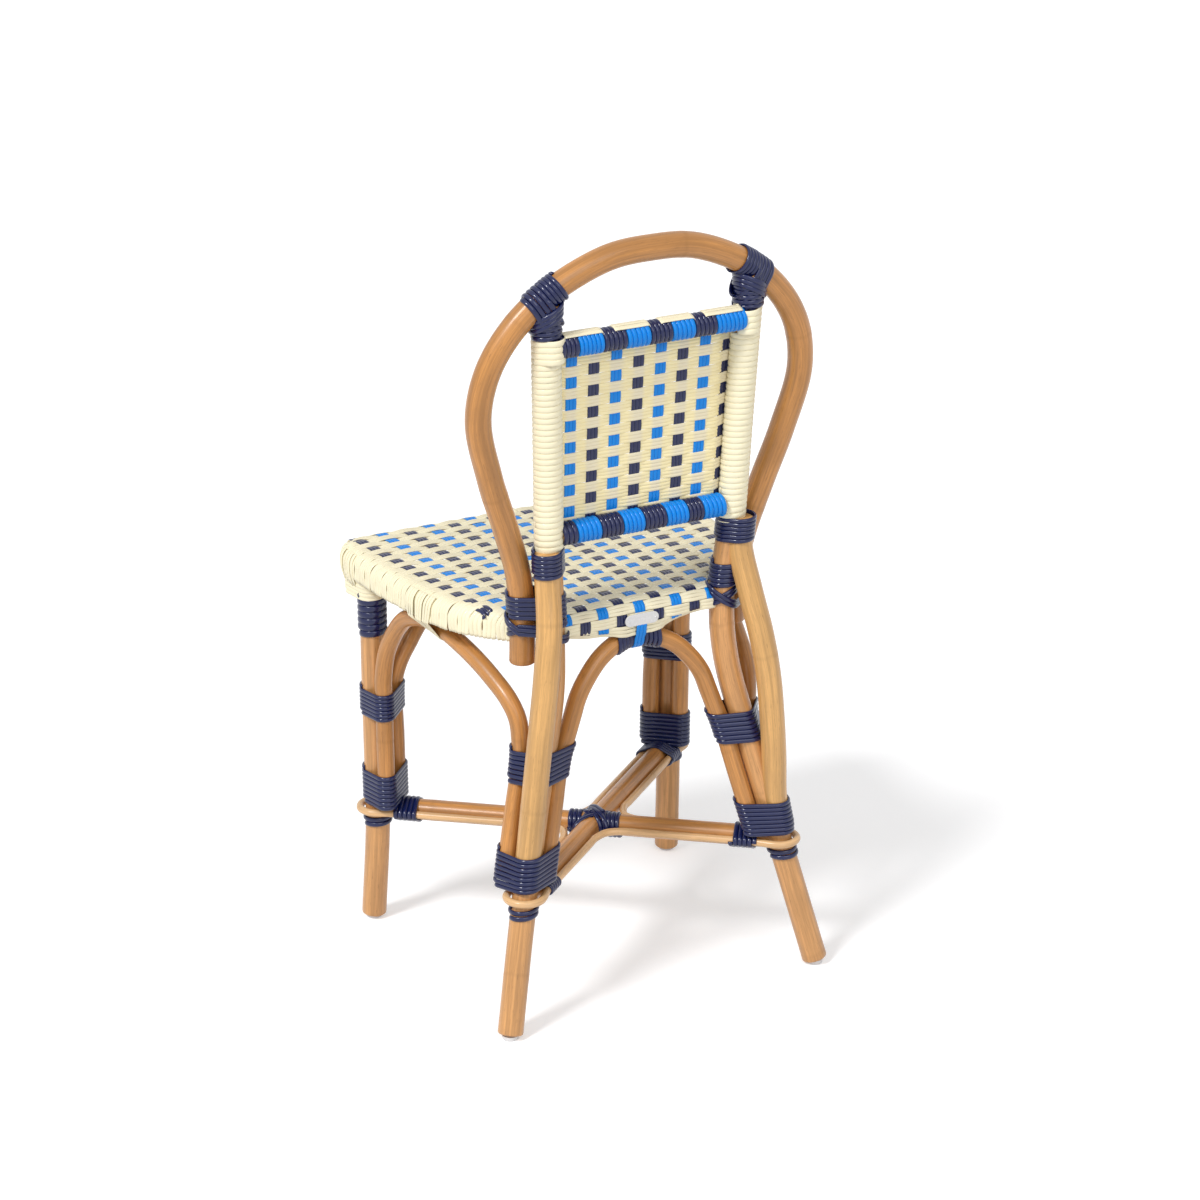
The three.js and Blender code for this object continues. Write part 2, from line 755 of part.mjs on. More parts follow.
// A winding from one place to another: placeAt gives the bundle's section and its frame.
function winding(placeAt, low, high, width) {
  const stops = bundleStops(placeAt((low + high) / 2).members);
  const turns = Math.floor((high - low - width) / (width + strandGap));
  const pitch = (high - low - width) / turns;
  const places = [];
  for (let i = 0; i <= turns * stops.length; i += 1) {
    const stop = stops[i % stops.length];
    const turn = Math.floor(i / stops.length) + stop.angle / (2 * Math.PI);
    const { origin, across, up, along, members } = placeAt(low + width / 2 + pitch * turn);
    const member = members[stop.member];
    const out = across.clone().multiplyScalar(Math.cos(stop.angle))
      .addScaledVector(up, Math.sin(stop.angle));
    const reach = (member.radius + strandReach) / Math.cos(stopAngle / 2);
    const centre = origin.clone().addScaledVector(across, member.x)
      .addScaledVector(up, member.y).addScaledVector(out, reach);
    places.push({ centre, out, along });
  }
  const geometry = strand(places, width);
  strandGaps.push(leastGap(geometry.attributes.position, stops.length));
  return geometry;
}

const xAxis = new THREE.Vector3(1, 0, 0);
const yAxis = new THREE.Vector3(0, 1, 0);
const zAxis = new THREE.Vector3(0, 0, 1);

// A band of level turns round upright poles.
function levelBand(poles, low, high, width = strandWidth) {
  const placeAt = (height) => ({
    origin: new THREE.Vector3(0, 0, height),
    across: xAxis,
    up: yAxis,
    along: zAxis,
    members: poles.map(([curve, radius]) => {
      const share = shareAtHeight(curve, height);
      const p = curve.getPoint(share);
      const { x, y, z } = curve.getTangent(share);
      return { x: p.x, y: p.y, radius: (radius + (Math.hypot(x, y) * width) / 2) / z };
    }),
  });
  return winding(placeAt, low, high, width);
}

// A coil of turns square to a curve, round members given in its own frame.
function coil(curve, start, length, members, width = strandWidth) {
  const total = curve.getLength();
  const placeAt = (reach) => {
    const share = Math.min(Math.max(reach / total, 0), 1);
    const along = curve.getTangentAt(share);
    const across = new THREE.Vector3(-along.y, along.x, 0).normalize();
    const up = new THREE.Vector3().crossVectors(along, across);
    return { origin: curve.getPointAt(share), across, up, along, members };
  };
  return winding(placeAt, start, start + length, width);
}

// The room that a slice of a band round a bundle takes.
function bandSlice(poles, low, high) {
  const members = poles.map(([curve, radius]) => {
    const { x, y } = atHeight(curve, (low + high) / 2);
    return { x, y, radius: around(bandedRadius(radius)) + 4 * clearance };
  });
  const outline = bundleStops(members).map(({ member, angle }) => new THREE.Vector2(
    members[member].x + members[member].radius * Math.cos(angle),
    members[member].y + members[member].radius * Math.sin(angle)));
  const room = new THREE.ExtrudeGeometry(new THREE.Shape(outline), {
    depth: high - low + 2 * clearance, bevelEnabled: false,
  });
  room.translate(0, 0, low - clearance);
  return room;
}

// The room that a whole band takes, in slices that lean with the poles.
function bandRoom(poles, low, high) {
  const parts = 4;
  const step = (high - low) / parts;
  return Array.from({ length: parts }, (_, i) => (
    bandSlice(poles, low + i * step, low + (i + 1) * step)));
}

// The bundles of one side that carry a lashing, and its piece of the hoop and of the brace.
function bundlesOf(side) {
  const [, rear, front] = leftRight.find(([name]) => name === side);
  const turned = (points) => smoothCurve(side === 'left' ? points : points.map(flipped));
  const foot = (points, crown) => [turned([...points, crown]), archRadius + 2 * clearance];
  return {
    frontLeg: [[front, poleRadius]],
    frontFoot: [[front, poleRadius], foot(sideFrontHalf, sideCrown), foot(frontHalf, frontCrown)],
    rearFoot: [[rear, poleRadius], foot(sideRearHalf, sideCrown), foot(rearHalf, rearCrown)],
    hoopEnd: [[rear, poleRadius], [turned(hoopSide.slice(0, 4)), poleRadius]],
    brace: [[turned(brace.points), poleRadius]],
  };
}

function addBraces() {
  for (const [side, rear] of leftRight) {
    const { rearFoot, hoopEnd, brace: [[curve]] } = bundlesOf(side);
    const solid = cut(pole(curve, poleRadius, 16), poleSpace(rear, clearance),
      ...bandRoom(rearFoot, rearMidBandLow, rearMidBandHigh),
      ...bandRoom(hoopEnd, hoopEndBandLow, hoopEndBandHigh));
    addPiece(`rear_brace_${side}`, solid, straw);
  }
}

function addLegLashings() {
  for (const [side] of leftRight) {
    const { frontLeg: leg, frontFoot, rearFoot, hoopEnd, brace: braced } = bundlesOf(side);
    const rearPost = rearFoot.slice(0, 1);
    const top = levelBand(leg, frontTopBandLow, frontTopBandHigh, wideStrandWidth);
    addPiece(`front_top_lashing_${side}`, top, navy);
    const bands = [
      ['front_mid', frontFoot, frontMidBandLow, frontMidBandHigh],
      ['rear_mid', rearFoot, rearMidBandLow, rearMidBandHigh],
      ['front_lower', frontFoot, frontArchFoot, frontArchFoot + lowerBandHeight],
      ['rear_lower', [...rearFoot, ...braced], rearArchFoot, rearArchFoot + lowerBandHeight],
      ['hoop_end', hoopEnd, hoopEndBandLow, hoopEndBandHigh],
      ['post_foot', [...rearPost, ...braced], postFootBandLow, postFootBandHigh],
    ];
    for (const [name, bundle, low, high] of bands) {
      addPiece(`${name}_lashing_${side}`, levelBand(bundle, low, high), navy);
    }
  }
}

// Where the posts run into the hoop, the hoop wears a coil and the post's mouth fits round it
function hoopJointSpace() {
  return pole(hoop, around(bandRadius), hoopSteps);
}

// The distance along the hoop at which it passes over a post.
function hoopJointReach() {
  const target = atHeight(rearPole, sleeveTopHeight).x;
  const parts = 500;
  let i = parts / 2;
  while (hoop.getPointAt(i / parts).x < target) {
    i -= 1;
  }
  return (i / parts) * hoop.getLength();
}

function addHoopJoints() {
  const length = hoop.getLength();
  const reach = hoopJointReach();
  const members = [{ x: 0, y: 0, radius: poleRadius + clearance }];
  for (const [side, middle] of [['left', reach], ['right', length - reach]]) {
    const start = middle - hoopJointBandLength / 2;
    const turns = coil(hoop, start, hoopJointBandLength, members, narrowStrandWidth);
    addPiece(`hoop_top_lashing_${side}`, turns, navy);
  }
}

function addStretcherLashings() {
  const members = [
    { x: 0, y: 0, radius: stretcherRadius },
    { x: rodLane, y: 0, radius: rodRadius },
    { x: -rodLane, y: 0, radius: rodRadius },
  ];
  const joints = { front_left: frontLeftJoint, front_right: frontRightJoint,
    rear_left: rearLeftJoint, rear_right: rearRightJoint };
  for (const [name, joint] of Object.entries(joints)) {
    const band = coil(line(joint, crossing), stretcherBandStart, stretcherBandLength, members);
    addPiece(`stretcher_lashing_${name}`, band, navy);
  }
  const through = line(frontLeftJoint, rearRightJoint);
  const middle = frontLeftJoint.distanceTo(crossing);
  const centre = coil(through, middle - centreBandLength / 2, centreBandLength, [members[0]]);
  addPiece('centre_lashing', centre, navy);
}

// A place on an arch as it is made, straight from one of its steps to the next.
function archPlace(arch, share) {
  const step = Math.floor(share * archSteps);
  return arch.getPointAt(step / archSteps)
    .lerp(arch.getPointAt((step + 1) / archSteps), share * archSteps - step);
}

// A strap that hangs from the seat's underside and carries the crown of an arch, which sags
// towards the strap's edges and sways aside there.
function strap(width, sag, sway) {
  const inner = archRadius + 4 * clearance + sway;
  const outer = inner + strandThickness;
  const top = trayBottomHeight - archCrownHeight - clearance;
  const shape = new THREE.Shape();
  shape.moveTo(-outer, top);
  shape.lineTo(-outer, -sag);
  shape.absarc(0, -sag, outer, Math.PI, 2 * Math.PI, false);
  shape.lineTo(outer, top);
  shape.lineTo(inner, top);
  shape.lineTo(inner, -sag);
  shape.absarc(0, -sag, inner, 2 * Math.PI, Math.PI, true);
  shape.lineTo(-inner, top);
  const geometry = new THREE.ExtrudeGeometry(shape, {
    depth: width, bevelEnabled: false, curveSegments: 5,
  });
  geometry.translate(0, 0, -width / 2);
  geometry.rotateX(Math.PI / 2);
  return geometry;
}

function addArchStraps() {
  const straps = [
    ['front_arch_strap', frontArch, frontCrown, archBandLength, cream],
    ['rear_arch_strap', rearArch, rearCrown, rearArchBandLength, navy],
    ['side_arch_strap_left', sideArch, sideCrown, archBandLength, cream],
    ['side_arch_strap_right', mirrored(sideArch), flipped(sideCrown), archBandLength, cream],
  ];
  for (const [name, arch, crown, width, material] of straps) {
    const share = shareOf(arch, crown);
    const step = width / 2 / arch.getLength();
    const ends = [archPlace(arch, share - step), archPlace(arch, share + step)];
    const sag = crown.z - Math.min(ends[0].z, ends[1].z);
    const heading = Math.atan2(ends[1].y - ends[0].y, ends[1].x - ends[0].x);
    const sway = Math.max(...ends.map((end) => Math.abs(
      (end.x - crown.x) * Math.sin(heading) - (end.y - crown.y) * Math.cos(heading))));
    const geometry = strap(width, sag, sway);
    geometry.rotateZ(heading - Math.PI / 2);
    geometry.translate(crown.x, crown.y, crown.z);
    addPiece(name, geometry, material);
  }
}

// How far along a curve, by length, a point on it lies.
function shareOf(curve, point) {
  const parts = 400;
  let best = 0;
  for (let i = 0; i <= parts; i += 1) {
    const nearer = curve.getPointAt(i / parts).distanceTo(point)
      < curve.getPointAt(best).distanceTo(point);
    best = nearer ? i / parts : best;
  }
  return best;
}

// Corner collars: the strand carried round the leg top and the frame's corner
function addCornerCollars() {
  const leg = atHeight(frontLeg, trayBottomHeight - collarHeight / 2);
  const legReach = poleRadius + clearance + weaveThickness;
  const nose = {
    x: leg.x + collarReachOut, y: leg.y - collarReachForward, radius: collarNoseRadius };
  const members = [{ x: leg.x, y: leg.y, radius: legReach }, nose];
  const outline = bundleStops(members).map(({ member, angle }) => new THREE.Vector2(
    members[member].x + (members[member].radius * Math.cos(angle)) / Math.cos(stopAngle / 2),
    members[member].y + (members[member].radius * Math.sin(angle)) / Math.cos(stopAngle / 2)));
  for (const [side, , front] of leftRight) {
    const points = side === 'left' ? outline
      : outline.map((p) => new THREE.Vector2(-p.x, p.y)).reverse();
    const collar = new THREE.ExtrudeGeometry(new THREE.Shape(points), {
      depth: collarHeight, bevelEnabled: false,
    });
    collar.translate(0, 0, trayBottomHeight - clearance - collarHeight);
    const legSpace = pole(front, poleRadius + clearance, frontLegSteps);
    addPiece(`corner_collar_${side}`, cut(collar, legSpace), cream);
  }
}

function addGlides() {
  const profile = [[0, 0], [glideRadius - glideRound, 0], [glideRadius, glideRound],
    [glideRadius, glideHeight - clearance], [0, glideHeight - clearance]];
  for (const [side, rear, front] of leftRight) {
    for (const [end, leg] of [['rear', rear], ['front', front]]) {
      const foot = atHeight(leg, glideHeight);
      const glide = new THREE.LatheGeometry(profile.map(([r, z]) => new THREE.Vector2(r, z)), 12);
      glide.rotateX(Math.PI / 2);
      const mesh = addPiece(`glide_${end}_${side}`, glide, white);
      mesh.position.set(foot.x, foot.y, 0);
    }
  }
}

// A blank oval plate on the rear edge of the seat
function addPlate() {
  const end = plateHeight / 2;
  const straight = plateLength / 2 - end;
  const shape = new THREE.Shape();
  shape.moveTo(-straight, -end);
  shape.lineTo(straight, -end);
  shape.absarc(straight, 0, end, -Math.PI / 2, Math.PI / 2, false);
  shape.lineTo(-straight, end);
  shape.absarc(-straight, 0, end, Math.PI / 2, 1.5 * Math.PI, false);
  const plate = new THREE.ExtrudeGeometry(shape, {
    depth: plateThickness, bevelEnabled: false, curveSegments: 6,
  });
  plate.rotateX(Math.PI / 2);
  const mesh = addPiece('label_plate', plate, white);
  mesh.position.set(0, seatRearDepth + clearance + plateThickness, seatHeight - plateDrop);
}

addPoles();
addSeatFrame();
addSeatWeave();
addArches();
addBackRails();
addBackWeave();
addPostWraps();
addStretchers();
addFootRods();
addBraces();
addLegLashings();
addHoopJoints();
addStretcherLashings();
addArchStraps();
addCornerCollars();
addGlides();
addPlate();

// The origin lies on the floor, midway between the foremost and the rearmost point
const bounds = new THREE.Box3().setFromObject(chair);
chair.position.y = -(bounds.min.y + bounds.max.y) / 2;

console.log(`least gap between turns of a winding: ${Math.min(...strandGaps).toFixed(2)} mm`);

export default chair;
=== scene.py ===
# A rattan side chair: smooth bent poles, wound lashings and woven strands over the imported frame.
# The forms are worked out in millimetres, with x to the sitter's left, y to the back from the
# line of the front feet, and z up, and are brought into the frame as each piece is finished.
import math

import bmesh
import bpy
import numpy as np
from bpy.props import FloatProperty, FloatVectorProperty, IntProperty, PointerProperty
from mathutils import Color, Matrix, Vector


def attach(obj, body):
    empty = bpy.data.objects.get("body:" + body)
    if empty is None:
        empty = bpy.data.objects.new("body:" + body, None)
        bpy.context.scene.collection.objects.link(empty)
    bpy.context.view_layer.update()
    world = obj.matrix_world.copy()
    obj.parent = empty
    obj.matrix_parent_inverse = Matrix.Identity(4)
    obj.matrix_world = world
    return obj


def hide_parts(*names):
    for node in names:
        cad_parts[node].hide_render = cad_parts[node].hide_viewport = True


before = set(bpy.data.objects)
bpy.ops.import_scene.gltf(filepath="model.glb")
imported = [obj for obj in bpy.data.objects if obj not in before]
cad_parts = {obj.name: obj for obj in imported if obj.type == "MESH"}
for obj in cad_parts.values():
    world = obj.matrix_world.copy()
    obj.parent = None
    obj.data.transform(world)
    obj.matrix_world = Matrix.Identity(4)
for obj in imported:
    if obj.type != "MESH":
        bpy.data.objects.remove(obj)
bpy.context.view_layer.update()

bl_info = {
    "name": "Rattan Side Chair",
    "version": (1, 0, 0),
    "blender": (4, 5, 0),
    "location": "3D View > Sidebar > Rattan Chair",
    "description": "Dresses the frame of a rattan side chair with poles, lashings and weave",
    "category": "Object",
}

METRES = 0.001
FRONT_FEET_TO_ORIGIN = 152.52
X_AXIS, Y_AXIS, Z_AXIS = np.eye(3)
SIDES = (("left", 1), ("right", -1))
LANES = (-1, 0, 1)


# ---------------------------------------------------------------- sizes and colours

def length(name, description, default):
    return FloatProperty(name=name, description=description, default=default,
                         min=0.0002, unit="LENGTH", subtype="DISTANCE", precision=4)


def shade(name, description, default):
    return FloatVectorProperty(name=name, description=description, default=default,
                               size=3, min=0.0, max=1.0, subtype="COLOR_GAMMA")


class ChairSizes(bpy.types.PropertyGroup):
    pole: length("Pole", "Diameter of the legs, braces and hoop", 0.028)
    arch: length("Arch", "Diameter of the arches under the seat", 0.020)
    stretcher: length("Stretcher", "Diameter of the crossed stretchers", 0.024)
    rod: length("Rod", "Diameter of the thin rods round the legs", 0.0085)
    seat_rail: length("Seat rail", "Diameter of the pole under the seat's edge", 0.026)
    back_rail: length("Back rail", "Diameter of the bare rails across the back", 0.021)
    cord_depth: length("Cord depth", "Thickness of a navy or blue lashing strand", 0.0027)
    strip_width: length("Strip width", "Width of a woven strip", 0.0041)
    strip_depth: length("Strip depth", "Thickness of a woven strip", 0.0012)
    pole_sides: IntProperty(name="Pole sides", description="Sides of a round pole",
                            default=28, min=8, max=64)


class ChairColours(bpy.types.PropertyGroup):
    honey: shade("Honey", "Legs", (0.835, 0.615, 0.385))
    chestnut: shade("Chestnut", "Hoop, arches and stretchers", (0.785, 0.545, 0.290))
    straw: shade("Straw", "Braces and bare rails", (0.850, 0.655, 0.400))
    rod: shade("Rod", "Thin rods", (0.900, 0.725, 0.520))
    cream: shade("Cream", "Pale strands", (0.960, 0.925, 0.800))
    # painted backlight: the back's cream, warmer and brighter as if lit from behind
    backlit: shade("Backlit cream", "Pale strips of the back, with light behind them",
                   (0.985, 0.925, 0.735))
    navy: shade("Navy", "Dark strands", (0.035, 0.085, 0.280))
    blue: shade("Blue", "Bright strands", (0.000, 0.520, 0.880))
    white: shade("White", "Glides and label plate", (0.860, 0.855, 0.855))
    floor: shade("Floor", "Studio floor", (0.93, 0.93, 0.935))


# ---------------------------------------------------------------- lines

CURVE_STEPS = 14
HEADING_SPAN = 3.0


def unit(rows):
    return rows / np.linalg.norm(rows, axis=-1, keepdims=True)


def clamp(share):
    return min(1.0, max(0.0, share))


def aside(way):
    """The level direction square to a heading, on its left."""
    return np.array([-way[1], way[0], 0.0])


def reaches_along(places):
    steps = np.linalg.norm(np.diff(places, axis=0), axis=1)
    return np.concatenate(([0.0], np.cumsum(steps)))


class Line:
    """A smooth line through places in millimetres, read by the length along it."""

    def __init__(self, points, smooth=True):
        points = [np.array(p, float) for p in points]
        self.places = self.curve(points) if smooth and len(points) > 2 else np.array(points)
        self.reaches = reaches_along(self.places)
        self.length = self.reaches[-1]

    @staticmethod
    def curve(points):
        row = [2 * points[0] - points[1], *points, 2 * points[-1] - points[-2]]
        places = []
        for a, b, c, d in zip(row, row[1:], row[2:], row[3:]):
            ab, bc, cd = (math.sqrt(np.linalg.norm(q - p)) for p, q in ((a, b), (b, c), (c, d)))
            leave = ((b - a) / ab - (c - a) / (ab + bc) + (c - b) / bc) * bc
            arrive = ((c - b) / bc - (d - b) / (bc + cd) + (d - c) / cd) * bc
            for t in np.arange(CURVE_STEPS) / CURVE_STEPS:
                places.append(b + leave * t + (3 * (c - b) - 2 * leave - arrive) * t * t
                              + (2 * (b - c) + leave + arrive) * t ** 3)
        return np.array([*places, points[-1]])

    def at(self, reach):
        return np.stack([np.interp(reach, self.reaches, self.places[:, k]) for k in range(3)], -1)

    def heading(self, reach):
        return unit(self.at(reach + HEADING_SPAN) - self.at(reach - HEADING_SPAN))

    def reach_at(self, height):
        return float(np.interp(height, self.places[:, 2], self.reaches))

    def at_height(self, height):
        return self.at(self.reach_at(height))

    def mirrored(self):
        return Line(self.places * (-1, 1, 1), smooth=False)


def sided(line, side):
    return line if side > 0 else line.mirrored()


def both_sides(half, middle):
    return [*half, middle, *[(-x, y, z) for x, y, z in reversed(half)]]


POLE_RADIUS, ARCH_RADIUS, STRETCHER_RADIUS, ROD_RADIUS = 14.0, 10.0, 12.0, 4.25

REAR_POLE = Line([(194, 344, 0), (164.3, 318.5, 129.7), (132.5, 295.2, 260.4), (108.1, 280, 365.2),
                  (104.5, 275, 430.3), (111, 281.4, 528.8), (115.4, 287.6, 649.5),
                  (121.8, 296.2, 806)])
FRONT_LEG = Line([(193.9, 0, 0), (190.5, 9, 124.7), (191, 9.5, 200.7), (192, 9.5, 300),
                  (192, 9.5, 422.6)])
HOOP_SIDE = [(130, 255, 396), (130, 255, 440.5), (138, 262.5, 499.8), (156.9, 269.1, 560.3),
             (177.4, 275.4, 619.6), (193.5, 282.9, 690), (179.8, 288.9, 749.7), (133.5, 294, 805),
             (56.1, 298.5, 844)]
HOOP = Line(both_sides(HOOP_SIDE, (0, 300, 850)))
HOOP_FOOT = Line(HOOP_SIDE[:5])

RAIL_HEIGHT, RAIL_FRONT, RAIL_BACK = 435.9, -35.9, 265.9
SEAT_SIDE = [(126.9, 243), (134, 235.9), (149.8, 218), (164.9, 197.8), (177.9, 165.9),
             (186.9, 110.1), (192.9, 60.1), (195.9, 10.1), (195.9, -21), (191.5, -31.5),
             (181, -35.9), (162.9, -35.9), (81.5, -35.9)]
SEAT_FRAME = Line(both_sides([(x, y, RAIL_HEIGHT) for x, y in SEAT_SIDE],
                             (0, RAIL_FRONT, RAIL_HEIGHT)))

# The stretchers' ends lie at the legs, and the arches stand on the rings of rod just above.
JOINT_FRONT, JOINT_BACK = FRONT_LEG.at_height(142.0), REAR_POLE.at_height(150.0)
ARCH_FOOT_FRONT, ARCH_FOOT_BACK = 158.4, 166.4
ARCH_CONTACT = 25.2
ARCH_BEND, ARCH_CROWN = 292.0, 407.4


def half_arch(leg, turn, foot, crown, rows):
    """An arch's axis: straight up beside a leg, then in shares of the way to its crown."""
    points = []
    for height in (foot, foot + 0.5 * (ARCH_BEND - foot), ARCH_BEND):
        x, y, _ = leg.at_height(height)
        points.append((x + ARCH_CONTACT * math.cos(turn * math.pi),
                       y + ARCH_CONTACT * math.sin(turn * math.pi), height))
    x, y, z = points[-1]
    for run, rise in rows:
        points.append((x + run * (crown[0] - x), y + run * (crown[1] - y),
                       z + rise * (crown[2] - z)))
    return points


SIDE_CROWN = (174, 125, ARCH_CROWN)
FRONT_CROWN = (0, RAIL_FRONT, ARCH_CROWN)
REAR_CROWN = (0, RAIL_BACK, ARCH_CROWN)
SIDE_FRONT_HALF = half_arch(FRONT_LEG, 0.5, ARCH_FOOT_FRONT, SIDE_CROWN,
                            [(0, .138), (.105, .484), (.462, .873), (.8, .98)])
SIDE_REAR_HALF = half_arch(REAR_POLE, -0.265, ARCH_FOOT_BACK, SIDE_CROWN,
                           [(0, .216), (.033, .4), (.136, .553), (.298, .683), (.49, .804),
                            (.713, .907)])
END_ROWS = [(.043, .179), (.13, .357), (.237, .545), (.367, .714), (.542, .866), (.77, .965)]
FRONT_HALF = half_arch(FRONT_LEG, 1.0, ARCH_FOOT_FRONT, FRONT_CROWN, END_ROWS)
REAR_HALF = half_arch(REAR_POLE, 1.062, ARCH_FOOT_BACK, REAR_CROWN,
                      [(.08, .179), (.155, .357), *END_ROWS[2:]])
SIDE_ARCH = Line([*SIDE_FRONT_HALF, SIDE_CROWN, *reversed(SIDE_REAR_HALF)])
FRONT_ARCH = Line(both_sides(FRONT_HALF, FRONT_CROWN))
REAR_ARCH = Line(both_sides(REAR_HALF, REAR_CROWN))

# A brace leaves the rear pole and comes back to it: rows of height, way out and way back.
BRACE_FOOT, BRACE_RISE, BRACE_REACH = 170, 361, 47
BRACE_ROWS = [(0, .09, .11), (.083, .14, .17), (.125, .19, .24), (.222, .32, .42), (.36, .49, .63),
              (.499, .62, .79), (.637, .58, .81), (.776, .38, .61), (.914, .18, .23),
              (1, .16, .20)]
BRACE = Line([REAR_POLE.at_height(BRACE_FOOT + rise * BRACE_RISE)
              + np.array([out, back, 0]) * BRACE_REACH for rise, out, back in BRACE_ROWS])


# ---------------------------------------------------------------- sections and sweeps

CORD_OUTLINE = ((-.5, -.3), (-.32, -.5), (.32, -.5), (.5, -.3), (.5, -.02), (.38, .3),
                (.15, .49), (-.15, .49), (-.38, .3), (-.5, -.02))
STRIP_OUTLINE = ((-.5, -.42), (.5, -.42), (.5, .08), (.33, .42), (0, .5), (-.33, .42),
                 (-.5, .08))
# 'over' holds the share of painted shade where a strip lies over a dark column
STRAND_LAYERS = ("reach", "girth", "full", "tone", "over")


def carried_normals(places):
    """Outward directions that turn no more than the line does."""
    ways = unit(np.gradient(places, axis=0))
    normals = [unit(np.cross(ways[0], Z_AXIS if abs(ways[0][2]) < 0.9 else X_AXIS))]
    for way in ways[1:]:
        normals.append(unit(normals[-1] - way * np.dot(normals[-1], way)))
    return np.array(normals)


def only(kind, parts):
    return [part for part in parts if isinstance(part, kind)]


class Piece:
    """A mesh that grows as sections are swept along lines."""

    def __init__(self):
        self.strands = []

    def sweep(self, section, places, outward, tone=0.5, scales=1.0, over=0.0, ring=False):
        places = np.asarray(places, float)
        count, sides = len(places), len(section)
        ways = unit(np.roll(places, -1, 0) - np.roll(places, 1, 0) if ring
                    else np.gradient(places, axis=0))
        outward = np.broadcast_to(np.asarray(outward, float), places.shape)
        outward = unit(outward - ways * np.sum(outward * ways, 1, keepdims=True))
        across = np.cross(ways, outward)
        scales, over = np.broadcast_to(scales, count), np.broadcast_to(over, count)
        spots = (places[:, None] + scales[:, None, None]
                 * (section[None, :, :1] * across[:, None]
                    + section[None, :, 1:] * outward[:, None]))
        reaches = reaches_along(places)
        girths = reaches_along([*section, section[0]])
        bm = bmesh.new()
        spoke = bm.verts.layers.int.new("spoke")
        layers = {name: bm.verts.layers.float.new(name) for name in STRAND_LAYERS}
        verts = bmesh.ops.create_circle(bm, cap_ends=False, segments=sides, radius=1)["verts"]
        for k, vert in enumerate(verts):
            vert.co = spots[0, k]
            vert[spoke] = k
            for name, value in zip(STRAND_LAYERS, (0, girths[k], girths[-1], tone, over[0])):
                vert[layers[name]] = value
        first = edges = bm.edges[:]
        for i in range(1, count):
            grown = bmesh.ops.extrude_edge_only(bm, edges=edges)["geom"]
            edges = only(bmesh.types.BMEdge, grown)
            for vert in only(bmesh.types.BMVert, grown):
                vert.co = spots[i, vert[spoke]]
                vert[layers["reach"]] = reaches[i]
                vert[layers["over"]] = over[i]
        if ring:
            bmesh.ops.bridge_loops(bm, edges=first + edges)
        else:
            bmesh.ops.edgeloop_fill(bm, edges=first)
            bmesh.ops.edgeloop_fill(bm, edges=edges)
        strand = bpy.data.meshes.new("strand")
        bm.to_mesh(strand)
        bm.free()
        self.strands.append(strand)

    def lay(self, outline, width, depth, spots, tone=0.5, **looks):
        """Sweeps a flat strand through spots, each a place and the way it faces."""
        places, outward = zip(*spots)
        self.sweep(np.array(outline) * (width, depth), places, outward, tone, **looks)

    def finish(self, name, key, *nodes):
        bm = bmesh.new()
        for strand in self.strands:
            bm.from_mesh(strand)
            bpy.data.meshes.remove(strand)
        bmesh.ops.recalc_face_normals(bm, faces=bm.faces)
        mesh = settled(bm, name)
        unroll(mesh)
        mesh.polygons.foreach_set("use_smooth", np.ones(len(mesh.polygons), bool))
        add_object(mesh, key, nodes)


def settled(bm, name):
    """The mesh of a shape, brought from the maker's millimetres into the frame's metres."""
    bmesh.ops.translate(bm, verts=bm.verts, vec=(0, -FRONT_FEET_TO_ORIGIN, 0))
    bmesh.ops.scale(bm, verts=bm.verts, vec=(METRES, METRES, METRES))
    mesh = bpy.data.meshes.new(name)
    bm.to_mesh(mesh)
    bm.free()
    return mesh


def read_all(items, name, kind):
    values = np.empty(len(items), kind)
    items.foreach_get(name, values)
    return values


def unroll(mesh):
    """Gives a swept mesh a UV map in metres: round the section, and along the line."""
    corner_vert = read_all(mesh.loops, "vertex_index", np.int32)
    starts = read_all(mesh.polygons, "loop_start", np.int32)
    totals = read_all(mesh.polygons, "loop_total", np.int32)
    spoke = read_all(mesh.attributes["spoke"].data, "value", np.int32)[corner_vert]
    girth, full, reach = (read_all(mesh.attributes[name].data, "value", np.float32)[corner_vert]
                          for name in ("girth", "full", "reach"))
    quads = starts[totals == 4][:, None] + np.arange(4)
    wraps = (spoke[quads].max(1) - spoke[quads].min(1)) > 1
    corners = quads[wraps].ravel()
    corners = corners[spoke[corners] == 0]
    girth[corners] = full[corners]
    layer = mesh.uv_layers.new(name="UVMap")
    layer.data.foreach_set("uv", (np.stack([girth, reach], -1) / 1000).ravel())
    for name in ("spoke", "reach", "girth", "full"):
        mesh.attributes.remove(mesh.attributes[name])


def add_object(mesh, key, nodes):
    """Makes a mesh one of the chair's pieces, in a finish, for the CAD nodes it replaces."""
    if not mesh.polygons:
        raise RuntimeError(f"{mesh.name} has no faces")
    piece = bpy.data.objects.new(mesh.name, mesh)
    bpy.context.scene.collection.objects.link(piece)
    slot, material = finish_for(key)
    mesh.materials.append(material)
    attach(piece, "root")
    if nodes:
        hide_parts(*nodes)


CANE_JOINT_GAP, CANE_JOINT_LENGTH, CANE_JOINT_SWELL = 205, 5, 0.012


def mm(size):
    """One of the chair's sizes, in millimetres."""
    return getattr(bpy.context.scene.chair_sizes, size) / METRES


